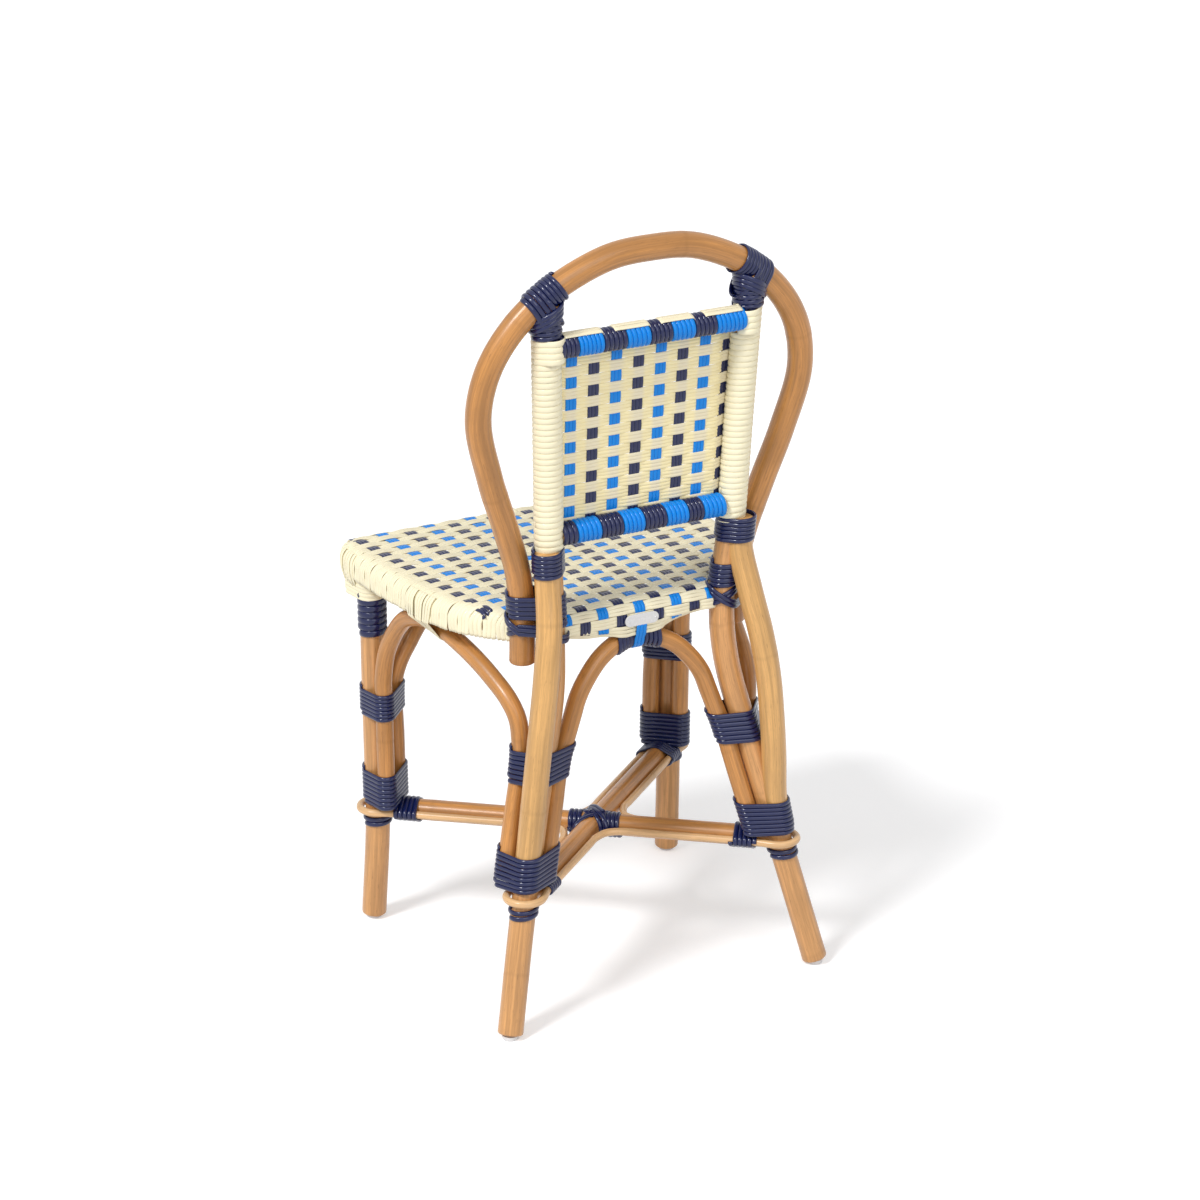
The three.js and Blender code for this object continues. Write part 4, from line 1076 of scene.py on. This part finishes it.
def rear_end(k, x, swing):
    """The end of a column over the rear edge; the middle one goes on round the rear arch."""
    middle = k == 0
    end = SKIRT - (5 if middle else max(0.0, apron_rise(x)))
    axis = np.array([x, RAIL_BACK, RAIL_HEIGHT])
    spots = []
    for run in np.linspace(0, end, 14):
        proud = min(3.4, max(0.0, run - 26)) if middle else 0.0
        spots.append(edge_spot(axis, Y_AXIS, run, swing(RAIL_BACK + run) + proud))
    if middle:
        spots.append(((x, 283.0, 413), Y_AXIS))
        for angle in np.radians(np.arange(88, 172, 14)):
            out = Y_AXIS * math.sin(angle) + Z_AXIS * math.cos(angle)
            spots.append((np.array([x, RAIL_BACK, ARCH_CROWN]) + 13.9 * out, out))
    return spots


class CHAIR_OT_seat(Step, bpy.types.Operator):
    """Weaves the seat: coloured strips front to back, and cream rows across them"""
    bl_idname = "chair.seat"
    bl_label = "Woven Seat"

    def execute(self, context):
        width, depth = mm("strip_width") * 0.96, mm("strip_depth")
        rng = np.random.default_rng(11)
        wefts, navy, blue = Piece(), Piece(), Piece()
        # the cream rows carry painted shade, greyer where a strip rises over a column
        for number in FLAT_ROWS:
            for spots, cover, scales in weft_row(number, rng):
                wefts.lay(STRIP_OUTLINE, width, depth, spots, rng.random(), scales=scales,
                          over=np.array(cover) * 0.35)
        for numbers, strip in ((FRONT_ROWS, front_strip), (REAR_ROWS, rear_strip)):
            for number in numbers:
                for lane in LANES:
                    spots, cover = strip(number, lane)
                    wefts.lay(STRIP_OUTLINE, width, depth, spots, rng.random(),
                              over=cover * 0.35)
        wefts.finish("seat_cream_rows", "woven", "seat_weave")
        for k in COLUMNS:
            for lane in LANES:
                (navy if k % 2 else blue).lay(STRIP_OUTLINE, width * 1.05, depth,
                                              warp_strip(k, lane), rng.random())
        navy.finish("seat_navy_columns", "navy")
        blue.finish("seat_blue_columns", "blue")
        return {"FINISHED"}


# ---------------------------------------------------------------- woven back

PANEL_FOOT, PANEL_HEIGHT = 560.5, 185.0
PANEL_LOW, PANEL_HIGH = 558, 752
BACK_ROWS = range(-1, 16)
BACK_ROW_START, BACK_ROW_PITCH, BACK_ROW_LANE = 568.7, 12.08, 3.88
BACK_COLUMN_LANE = 4.25
BACK_WEFT_SWING, BACK_WARP_SWING = 0.85, 0.6
POST_INSIDE = 12


def panel_spot(x, z, lift):
    """A place on the back panel, lifted off it towards the back, and how it faces."""
    low, high = (REAR_POLE.at_height(height)[1] - 2
                 for height in (PANEL_FOOT, PANEL_FOOT + PANEL_HEIGHT))
    lean = math.atan2(high - low, PANEL_HEIGHT)
    start, sink = (94, 4.5) if x > 0 else (85, 7.5)
    bend = clamp((abs(x) - start) / (102 - start))
    y = low + (z - PANEL_FOOT) / PANEL_HEIGHT * (high - low)
    return (x, y + lift * math.cos(lean) - sink * bend * bend * (3 - 2 * bend),
            z - lift * math.sin(lean)), Y_AXIS


def panel_column(k, z):
    """Where a coloured column of the back lies at a height."""
    share = (z - 568) / 170
    shift = 4.0 if k >= 7 else 0.0
    return (87.0 - 25.6 * k) * (1 - share) + (88.6 - 26.7 * k) * share - shift


class CHAIR_OT_back(Step, bpy.types.Operator):
    """Weaves the back panel: coloured strips upright, and cream rows across them"""
    bl_idname = "chair.back"
    bl_label = "Woven Back"

    def execute(self, context):
        width, depth = mm("strip_width") * 0.97, mm("strip_depth")
        rng = np.random.default_rng(5)
        rows, navy, blue = Piece(), Piece(), Piece()
        ks = np.arange(-1, 9)
        for j in BACK_ROWS:
            for lane in LANES:
                z = BACK_ROW_START + BACK_ROW_PITCH * j + lane * BACK_ROW_LANE
                if not PANEL_LOW < z < PANEL_HIGH:
                    continue
                edge = REAR_POLE.at_height(z)[0] - POST_INSIDE
                xs = np.linspace(-edge, edge, 53)
                number = np.interp(-xs, [-panel_column(k, z) for k in ks], ks)
                swings = -BACK_WEFT_SWING * row_parity(j) * np.cos(math.pi * number)
                spots = [panel_spot(x, z, s) for x, s in zip(xs, swings)]
                # painted shade: a row is greyer where it rises over a column's middle
                near = np.abs(number - np.round(number))
                over = np.clip((0.30 - near) / 0.08, 0, 1) * (swings > 0)
                rows.lay(STRIP_OUTLINE, width, depth, spots, rng.random(), over=over * 0.8)
        # the rows take the cream with painted backlight, and painted shade over the columns
        rows.finish("back_cream_rows", "backlit", "back_weave")
        zs = np.arange(553, 753, 3.02)
        for k in range(8):
            swings = BACK_WARP_SWING * np.cos(
                math.pi * ((zs - BACK_ROW_START) / BACK_ROW_PITCH + k))
            for lane in LANES:
                spots = [panel_spot(panel_column(k, z) + lane * BACK_COLUMN_LANE, z, s)
                         for z, s in zip(zs, swings)]
                (navy if k % 2 else blue).lay(STRIP_OUTLINE, width * 1.07, depth, spots,
                                              rng.random())
        navy.finish("back_navy_columns", "navy")
        blue.finish("back_blue_columns", "blue")
        return {"FINISHED"}


# ---------------------------------------------------------------- wraps and lashings

# Each rail of the back: its height, how far behind the posts it lies, and where along x its
# groups of turns begin and end, navy and blue in turn.
BACK_RAILS = {
    "top": (759, 8, (111.5, 90.5, 61.3, 34.0, 6.2, -19.9, -47.0, -73.4, -109.5)),
    "bottom": (547, 3, (101, 83.5, 55.2, 28.6, 3.0, -24.0, -50.5, -69.4, -97)),
}
RAIL_TURN = 5.2
RAIL_STRIPS = ((-17, 1.5), (6, -1.0), (28, 1.2))    # degrees round the rail, and their wander


class CHAIR_OT_rails(Step, bpy.types.Operator):
    """Wraps the two rails of the back in navy and blue turns"""
    bl_idname = "chair.rails"
    bl_label = "Back Rails"

    def execute(self, context):
        depth, radius = mm("cord_depth"), mm("back_rail") / 2
        for name, (height, set_back, stops) in BACK_RAILS.items():
            x, y, _ = REAR_POLE.at_height(height)
            start = x - 2
            line = Line([(start, y + set_back, height), (-start, y + set_back, height)])
            make_pole(f"cane_back_{name}_rail", "straw", f"back_{name}_rail", line, "back_rail",
                      RAIL_SIDES, start=start - stops[0] + 1.5, end=start - stops[-1] - 1.5)
            members = line_members(line, [(0, 0, radius)])
            navy, blue = Piece(), Piece()
            for number, (high, low) in enumerate(zip(stops, stops[1:])):
                turns = max(3, round((high - low) / RAIL_TURN))
                wind(blue if number % 2 else navy, members, start - high + 0.2, start - low - 0.2,
                     turns, depth + 0.1, (high - low) / turns, parts=20, seed=number + 3,
                     tone=0.2 + 0.1 * (number % 5), jitter=0.08)
            navy.finish(f"navy_{name}_rail_turns", "navy")
            if name == "top":
                self.top_strips(line, start, radius, stops)
            blue.finish(f"blue_{name}_rail_turns", "blue", f"back_{name}_rail_wrap")
        return {"FINISHED"}

    def top_strips(self, line, start, radius, stops):
        """Pale strips along the rail, over its turns but under the first half of a navy group."""
        piece = Piece()
        xs = np.arange(106, -106, -2.4)
        under = np.zeros(len(xs))
        for k in (2, 4, 6):
            half = (stops[k] - stops[k + 1]) / 4
            middle = stops[k] - half
            under = np.maximum(under, np.clip((half + 1.5 - np.abs(xs - middle)) / 3, 0, 1))
        size = radius + 3.4 - 3.2 * under
        for angle, wander in RAIL_STRIPS:
            lean = np.radians(angle + wander * np.sin(xs / 17))
            outward = np.stack([0 * xs, np.sin(lean), np.cos(lean)], -1)
            places = line.at(start - xs) + outward * size[:, None]
            piece.lay(STRIP_OUTLINE, 5.2, 1.3, zip(places, outward))
        piece.finish("cream_top_rail_strips", "cream")


# The parts of a post's sleeve: low, high, turns, and the rail's end that they cover, if any,
# as how far behind the post it lies and its radius.
SLEEVE_PARTS = ((526, 561, 5, (3.0, 8.0)), (561, 744.5, 28, None), (744.5, 771, 4, (8.5, 11.0)))


class CHAIR_OT_posts(Step, bpy.types.Operator):
    """Winds the cream sleeves round the back posts"""
    bl_idname = "chair.posts"
    bl_label = "Post Sleeves"

    def execute(self, context):
        for number, (side, sign) in enumerate(SIDES):
            post = sided(REAR_POLE, sign)
            piece = Piece()
            for low, high, turns, stub in SLEEVE_PARTS:
                bundle = [(post, POLE_RADIUS)]
                if stub:
                    x, y, _ = post.at_height((low + high) / 2)
                    spot = (x - sign * 3.5, y + stub[0])
                    bundle.append((Line([(*spot, low - 20), (*spot, high + 20)]), stub[1]))
                wind(piece, level_members(bundle), low, high, turns, 2.0, parts=28,
                     seed=20 + number + turns, tone=0.6, jitter=0.1)
            piece.finish(f"cream_sleeve_{side}", "cream", f"post_wrap_{side}")
        return {"FINISHED"}


def bundles(side):
    """The poles of one side that are lashed together, each with its radius."""
    front, rear, brace, hoop = ([(sided(line, side), POLE_RADIUS)]
                                for line in (FRONT_LEG, REAR_POLE, BRACE, HOOP_FOOT))
    side_front, front_end, side_rear, rear_end_foot = (
        (sided(Line([*half, crown]), side), ARCH_RADIUS)
        for half, crown in ((SIDE_FRONT_HALF, SIDE_CROWN), (FRONT_HALF, FRONT_CROWN),
                            (SIDE_REAR_HALF, SIDE_CROWN), (REAR_HALF, REAR_CROWN)))
    rear_feet = [*rear, side_rear, rear_end_foot]
    return {"front": front, "front_feet": [*front, side_front, front_end], "rear": rear,
            "rear_feet": rear_feet, "rear_low": rear_feet + brace, "hoop_end": rear + hoop,
            "post_foot": rear + brace}


# Each navy band: its name, the bundle it ties, low, high and turns.
BANDS = (("front_top", "front", 358, 402.5, 6), ("front_mid", "front_feet", 261, 293, 7),
         ("rear_mid", "rear_feet", 271, 307, 7), ("front_lower", "front_feet", 152, 193, 8),
         ("rear_lower", "rear_low", 161, 200, 8), ("hoop_end", "hoop_end", 453, 480, 5),
         ("post_foot", "post_foot", 506, 534, 6))
RING_BANDS = (("rear", 131.5, 143.0, 70, 0.4), ("front", 124.0, 135.5, 71, 0.6))


class CHAIR_OT_leg_lashings(Step, bpy.types.Operator):
    """Winds the navy bands round the legs and what they carry"""
    bl_idname = "chair.leg_lashings"
    bl_label = "Leg Lashings"

    def execute(self, context):
        depth = mm("cord_depth")
        for side, sign in SIDES:
            groups = bundles(sign)
            for number, (name, group, low, high, turns) in enumerate(BANDS):
                piece = Piece()
                wind(piece, level_members(groups[group]), low, high, turns, depth,
                     seed=40 + number * 2 + (sign > 0), tone=0.3 + 0.1 * (number % 4))
                piece.finish(f"navy_{name}_band_{side}", "navy", f"{name}_lashing_{side}")
            piece = Piece()
            for group, low, high, seed, tone in RING_BANDS:
                wind(piece, level_members(groups[group]), low, high, 2, depth, 5.4, seed=seed,
                     tone=tone)
            piece.finish(f"navy_ring_bands_{side}", "navy")
        return {"FINISHED"}


POST_CROSSES_HOOP = 119.5
# The cross lash at the hoop's end, turn by turn: height, slant and lift.
CROSS_LASH = ((441.5, 7.5, 0.1), (436.6, 8.0, 0.5), (441.5, -10.5, 2.4), (436.4, -10.5, 2.1))


class CHAIR_OT_hoop_lashings(Step, bpy.types.Operator):
    """Winds the joints of the hoop: over the posts, and at its ends beside the seat"""
    bl_idname = "chair.hoop_lashings"
    bl_label = "Hoop Lashings"

    def execute(self, context):
        depth = mm("cord_depth")
        reaches = np.linspace(0, HOOP.length / 2, 400)
        places = HOOP.at(reaches)
        over_post = float(reaches[np.argmin(np.abs(places[:, 0] - POST_CROSSES_HOOP)
                                            + (places[:, 2] < 700) * 1000)])
        for side, sign in SIDES:
            mirror = (sign, 1, 1)
            groups = bundles(sign)
            joint, along = HOOP.at(over_post) * mirror, HOOP.heading(over_post) * mirror
            hoop = [(sided(HOOP, sign), POLE_RADIUS)]
            post = level_members(groups["rear"])
            piece = Piece()
            wind(piece, tilted_members(joint, along, hoop + groups["rear"]), -24, -1, 4, depth,
                 5.6, seed=80 + sign, tone=0.5)
            wind(piece, tilted_members(joint, along, hoop), -1.5, 17, 4, depth, 4.9, lift=0.3,
                 seed=82 + sign, tone=0.6)
            wind(piece, post, 770.5, 801, 6, depth, 5.1, seed=84, tone=0.3, lift=0.5)
            for step, height in enumerate((786.5, 791.5, 796.5)):
                ring(piece, post, height, depth, 5.3, slant=(9.5, 2.85 if sign > 0 else 0.29),
                     lift=2.3 + step * 0.2, tone=0.7)
            piece.finish(f"navy_hoop_top_{side}", "navy", f"hoop_top_lashing_{side}")
            piece = Piece()
            for number, (height, slant, lift) in enumerate(CROSS_LASH):
                ring(piece, level_members(groups["hoop_end"]), height, depth, 5.0,
                     slant=(slant, 2.3 if sign > 0 else 2.65), lift=lift,
                     tone=0.2 + number * 0.2)
            piece.finish(f"navy_cross_lash_{side}", "navy")
        return {"FINISHED"}


class CHAIR_OT_stretcher_lashings(Step, bpy.types.Operator):
    """Winds the lashings at the ends and at the crossing of the stretchers"""
    bl_idname = "chair.stretcher_lashings"
    bl_label = "Stretcher Lashings"

    def execute(self, context):
        depth = mm("cord_depth")
        stretcher = (0, 0, STRETCHER_RADIUS)
        rods = [(gap, 0, ROD_RADIUS) for gap in (ROD_LANE, -ROD_LANE)]
        for number, (name, joint) in enumerate(JOINTS.items()):
            piece = Piece()
            wind(piece, line_members(Line([joint, CROSSING]), [stretcher, *rods]), 24, 51, 5,
                 depth, 5.3, seed=90 + number, tone=0.4)
            piece.finish(f"navy_stretcher_{name}", "navy", f"stretcher_lashing_{name}")
        piece = Piece()
        through, across = (Line([JOINTS[start], JOINTS[end]]) for start, end in
                           (("front_left", "rear_right"), ("rear_left", "front_right")))
        middle = np.linalg.norm(CROSSING - JOINTS["front_left"])
        for low, high, turns in ((-27, -11.5, 3), (11.5, 32, 4)):
            wind(piece, line_members(through, [stretcher]), middle + low, middle + high, turns,
                 depth, 5.1, seed=99, tone=0.5)
        both = [(through, STRETCHER_RADIUS), (across, STRETCHER_RADIUS)]
        one, other = through.heading(middle), across.heading(across.length / 2)
        for number, way in enumerate((one - other, one + other)):
            wind(piece, tilted_members(CROSSING, way, both), -8.0, 8.0, 3, depth, 5.3,
                 lift=0.3 + 2.0 * number, seed=100 + number, tone=0.4 + 0.3 * number)
        piece.finish("navy_crossing", "navy", "centre_lashing")
        return {"FINISHED"}


CREAM_DEPTH = 1.6
SIDE_STRAP_DEPTHS = (124, 128.9, 133.6, 140.2, 145.1, 150.0, 154.7, 159.7, 164.3)
SIDE_STRAP_MIDDLE = 137


def crown_place(arch, axis, value):
    """The place on the upper part of an arch that is nearest to a value of x or y."""
    places = arch.places
    return places[np.argmin(np.abs(places[:, axis] - value) + (places[:, 2] < 380) * 1000)]


def round_row(centre, radius):
    return np.array(centre, float), np.eye(2), radius


class CHAIR_OT_straps(Step, bpy.types.Operator):
    """Winds the turns that hang the arch crowns from the seat"""
    bl_idname = "chair.straps"
    bl_label = "Arch Straps"

    def execute(self, context):
        piece = Piece()
        for x in np.linspace(-24.2, 24.2, 11):
            self.loop(piece, REAR_ARCH, x, (RAIL_BACK, 424), 9.4, 10.6, 2.2, 5.2)
        piece.finish("navy_rear_arch_turns", "navy", "rear_arch_strap")
        piece = Piece()
        for x in (-9.6, -4.8, 0, 4.8, 9.6):
            self.loop(piece, FRONT_ARCH, x, (RAIL_FRONT, RAIL_HEIGHT), 16.6, 10.0, CREAM_DEPTH,
                      4.5)
        piece.finish("cream_front_arch_turns", "cream", "front_arch_strap")
        for side, sign in SIDES:
            piece = Piece()
            for number, y in enumerate(SIDE_STRAP_DEPTHS):
                self.side_loop(piece, y, sign, number)
            piece.finish(f"cream_side_arch_turns_{side}", "cream", f"side_arch_strap_{side}")
        return {"FINISHED"}

    def loop(self, piece, arch, x, top, top_radius, bottom_radius, depth, width):
        """One turn over the seat pole and under the arch's crown."""
        rows = [round_row(top, top_radius),
                round_row(crown_place(arch, 0, x)[1:], bottom_radius)]
        ring(piece, lambda spot: (X_AXIS * spot, (Y_AXIS, Z_AXIS, X_AXIS), rows), x, depth,
             width, lift=0.1, parts=30)

    def side_loop(self, piece, y, sign, number):
        """One turn over the side of the seat, gathered below round the side arch's crown."""
        gathered = y + (SIDE_STRAP_MIDDLE - y) * 0.6
        arch_x, _, arch_z = crown_place(SIDE_ARCH, 1, gathered)
        rail_x = side_x(y)
        proud = 0.4 * (number % 3)
        rows = [round_row((arch_x, arch_z), ARCH_RADIUS),
                round_row((rail_x + 14.2 + proud, 421.0), 2.5),
                round_row((rail_x, RAIL_HEIGHT), 16.7 + proud)]
        plane = (np.zeros(3), (X_AXIS, Z_AXIS, Y_AXIS), rows)
        spots = []
        for turn, k in hull_stops(rows, 34):
            place, face = carried_spot(plane, turn, k, CREAM_DEPTH / 2)
            if k == 2 and math.degrees(turn) > 62 and place[2] > RAIL_HEIGHT:
                place = place - face * 4.0
            gather = clamp((428 - place[2]) / 26)
            depth_there = y + (gathered - y) * gather
            spots.append(((sign * place[0], depth_there, place[2]), face * (sign, 1, 1)))
        piece.lay(CORD_OUTLINE, 4.5, CREAM_DEPTH, spots, ring=True)


CORNER_REACH = float(SEAT_FRAME.reaches[np.argmin(np.hypot(SEAT_FRAME.places[:, 0] - 195.9,
                                                          SEAT_FRAME.places[:, 1] + 21))])
CORNER_STEPS = (-21, -15.8, -10.4, -5.2, 0.4, 5.6, 10.8, 16.2, 21.2)


class CHAIR_OT_collars(Step, bpy.types.Operator):
    """Winds the cream collars round the tops of the front legs"""
    bl_idname = "chair.collars"
    bl_label = "Corner Collars"

    def execute(self, context):
        for side, sign in SIDES:
            nose = Line([(198 * sign, -20.5, 380), (198 * sign, -20.5, 440)])
            bundle = [(sided(FRONT_LEG, sign), POLE_RADIUS), (nose, ARCH_RADIUS)]
            piece = Piece()
            wind(piece, level_members(bundle), 398.5, 421, 5, 2.0, 4.9, seed=120 + sign,
                 tone=0.5)
            self.corner_strands(piece, sign)
            piece.finish(f"cream_collar_{side}", "cream", f"corner_collar_{side}")
        return {"FINISHED"}

    def corner_strands(self, piece, sign):
        """Strands that come over the seat's corner and run down into the collar."""
        for number, step in enumerate(CORNER_STEPS):
            reach = CORNER_REACH + step
            axis, out = SEAT_FRAME.at(reach), aside(SEAT_FRAME.heading(reach))
            size = ROLL + 1.5 + (0.0, 0.7, 0.25)[number % 3]
            spots = []
            for degree in range(28, 96, 8):
                turn = math.radians(degree)
                face = out * math.sin(turn) + Z_AXIS * math.cos(turn)
                spots.append((axis + face * (size - 3.2 * max(0.0, (44 - degree) / 16)), face))
            for drop in (6, 12, 18, 24):
                spots.append((axis + out * (size - 0.3 * max(0, drop - 10)) - Z_AXIS * drop, out))
            spots = [(place * (sign, 1, 1), face * (sign, 1, 1)) for place, face in spots]
            piece.lay(CORD_OUTLINE, 4.8, CREAM_DEPTH, spots, 0.3 + 0.05 * number)


# ---------------------------------------------------------------- small hardware

def thicken(bm, height, rim, rounding):
    """Raises a flat shape to a height, and rounds its rim at a level."""
    grown = bmesh.ops.extrude_face_region(bm, geom=list(bm.faces))["geom"]
    bmesh.ops.translate(bm, verts=only(bmesh.types.BMVert, grown), vec=(0, 0, height))
    edges = [e for e in bm.edges if all(abs(v.co.z - rim) < 0.01 for v in e.verts)]
    bmesh.ops.bevel(bm, geom=edges, offset=rounding, offset_type="OFFSET", segments=3,
                    profile=0.5, affect="EDGES", material=-1)
    bmesh.ops.recalc_face_normals(bm, faces=bm.faces)


class CHAIR_OT_glides(Step, bpy.types.Operator):
    """Turns the small glides under the legs"""
    bl_idname = "chair.glides"
    bl_label = "Glides"

    def execute(self, context):
        for side, sign in SIDES:
            for end, leg in (("rear", REAR_POLE), ("front", FRONT_LEG)):
                x, y, _ = leg.at_height(5)
                bm = bmesh.new()
                bmesh.ops.create_circle(bm, cap_ends=True, segments=32, radius=9)
                thicken(bm, GLIDE_HEIGHT, 0, 1.5)
                bmesh.ops.translate(bm, verts=bm.verts, vec=(sign * x, y, 0))
                add_object(settled(bm, f"glide_disc_{end}_{side}"), "glide",
                           [f"glide_{end}_{side}"])
        return {"FINISHED"}


class CHAIR_OT_label(Step, bpy.types.Operator):
    """Makes the blank oval plate on the rear edge of the seat"""
    bl_idname = "chair.label"
    bl_label = "Blank Label Plate"

    def execute(self, context):
        plate_depth = 1.4
        bm = bmesh.new()
        verts = bmesh.ops.create_circle(bm, cap_ends=True, segments=40, radius=6.5)["verts"]
        for vert in verts:
            vert.co.x += 14 if vert.co.x > 0 else -14
        thicken(bm, plate_depth, plate_depth, 0.45)
        for x in (-16.5, 16.5):
            bmesh.ops.create_uvsphere(bm, u_segments=14, v_segments=8, radius=1.1,
                                      matrix=Matrix.Translation((x, 0, 1.3)))
        bmesh.ops.rotate(bm, verts=bm.verts, cent=(0, 0, 0),
                         matrix=Matrix.Rotation(math.radians(-90), 3, "X"))
        bmesh.ops.translate(bm, verts=bm.verts, vec=(0, 283.9, 431.5))
        add_object(settled(bm, "blank_plate"), "plate", ["label_plate"])
        return {"FINISHED"}


# ---------------------------------------------------------------- stage

WHITE = (1, 1, 1, 1)
LAMPS = (("key", (0.65, 0.19, 0.73), 14, 2.0), ("fill", (0.10, 0.80, 0.58), 40, 0.85))
CAMERA_PLACE = (1.8384, 3.4257, 1.9266)
CAMERA_TURN = (68.6662, -0.0657, 151.5441)
CAMERA_LENS = 113.05


class CHAIR_OT_stage(Step, bpy.types.Operator):
    """Sets the floor, the soft lights and the camera"""
    bl_idname = "chair.stage"
    bl_label = "Stage"

    def execute(self, context):
        scene = context.scene
        bm = bmesh.new()
        bmesh.ops.create_grid(bm, x_segments=1, y_segments=1, size=20)
        mesh = bpy.data.meshes.new("studio_floor")
        bm.to_mesh(mesh)
        bm.free()
        mesh.materials.append(self.floor_finish(scene.chair_colours.floor))
        self.placed(scene, "studio_floor", mesh)
        scene.world = self.studio()
        for name, towards, spread, power in LAMPS:
            data = bpy.data.lights.new(name, "SUN")
            data.angle = math.radians(spread)
            data.energy = power
            lamp = self.placed(scene, name, data)
            lamp.location = Vector(towards) * 4
            lamp.rotation_euler = Vector(towards).to_track_quat("Z", "Y").to_euler()
        data = bpy.data.cameras.new("camera")
        data.sensor_width = 36.0
        data.lens = CAMERA_LENS
        data.clip_end = 100
        scene.camera = self.placed(scene, "camera", data)
        scene.camera.location = CAMERA_PLACE
        scene.camera.rotation_euler = [math.radians(a) for a in CAMERA_TURN]
        scene.view_settings.view_transform = "Standard"
        return {"FINISHED"}

    def placed(self, scene, name, data):
        thing = bpy.data.objects.new(name, data)
        scene.collection.objects.link(thing)
        return thing

    def floor_finish(self, colour):
        """A plain floor that looks a little brighter than the light it gives back."""
        finish = Finish(bpy.data.materials.new("Studio floor"))
        plain = finish.node("ShaderNodeBsdfDiffuse", sockets={"Color": paint(colour)})
        glow = finish.node("ShaderNodeEmission", sockets={"Color": WHITE, "Strength": 0.35})
        both = finish.node("ShaderNodeAddShader",
                           sockets={0: plain.outputs[0], 1: glow.outputs[0]})
        return finish.lit_or_seen(plain, both, "ShaderNodeOutputMaterial")

    def studio(self):
        """Soft light all round, with white where it is seen."""
        finish = Finish(bpy.data.worlds.new("Studio"))
        soft, white = (finish.node("ShaderNodeBackground",
                                   sockets={"Color": WHITE, "Strength": strength})
                       for strength in (0.42, 1.0))
        return finish.lit_or_seen(soft, white, "ShaderNodeOutputWorld")


# ---------------------------------------------------------------- panel and run

STEPS = (CHAIR_OT_poles, CHAIR_OT_braces, CHAIR_OT_arches, CHAIR_OT_stretchers, CHAIR_OT_rods,
         CHAIR_OT_seat_frame, CHAIR_OT_seat, CHAIR_OT_back, CHAIR_OT_rails, CHAIR_OT_posts,
         CHAIR_OT_leg_lashings, CHAIR_OT_hoop_lashings, CHAIR_OT_stretcher_lashings,
         CHAIR_OT_straps, CHAIR_OT_collars, CHAIR_OT_glides, CHAIR_OT_label, CHAIR_OT_stage)


class CHAIR_PT_panel(bpy.types.Panel):
    """The chair's sizes, colours and steps"""
    bl_label = "Rattan Chair"
    bl_idname = "CHAIR_PT_panel"
    bl_space_type = "VIEW_3D"
    bl_region_type = "UI"
    bl_category = "Rattan Chair"

    def draw(self, context):
        layout = self.layout
        for heading, group in (("Sizes", context.scene.chair_sizes),
                               ("Colours", context.scene.chair_colours)):
            box = layout.box()
            box.label(text=heading)
            for key in group.__annotations__:
                box.prop(group, key)
        column = layout.column(align=True)
        for step in STEPS:
            column.operator(step.bl_idname)


CLASSES = (ChairSizes, ChairColours, *STEPS, CHAIR_PT_panel)


def register():
    for cls in CLASSES:
        bpy.utils.register_class(cls)
    bpy.types.Scene.chair_sizes = PointerProperty(type=ChairSizes)
    bpy.types.Scene.chair_colours = PointerProperty(type=ChairColours)


def unregister():
    del bpy.types.Scene.chair_colours
    del bpy.types.Scene.chair_sizes
    for cls in reversed(CLASSES):
        bpy.utils.unregister_class(cls)


def main():
    register()
    for step in STEPS:
        group, name = step.bl_idname.split(".")
        getattr(getattr(bpy.ops, group), name)()


if __name__ == "__main__":
    main()
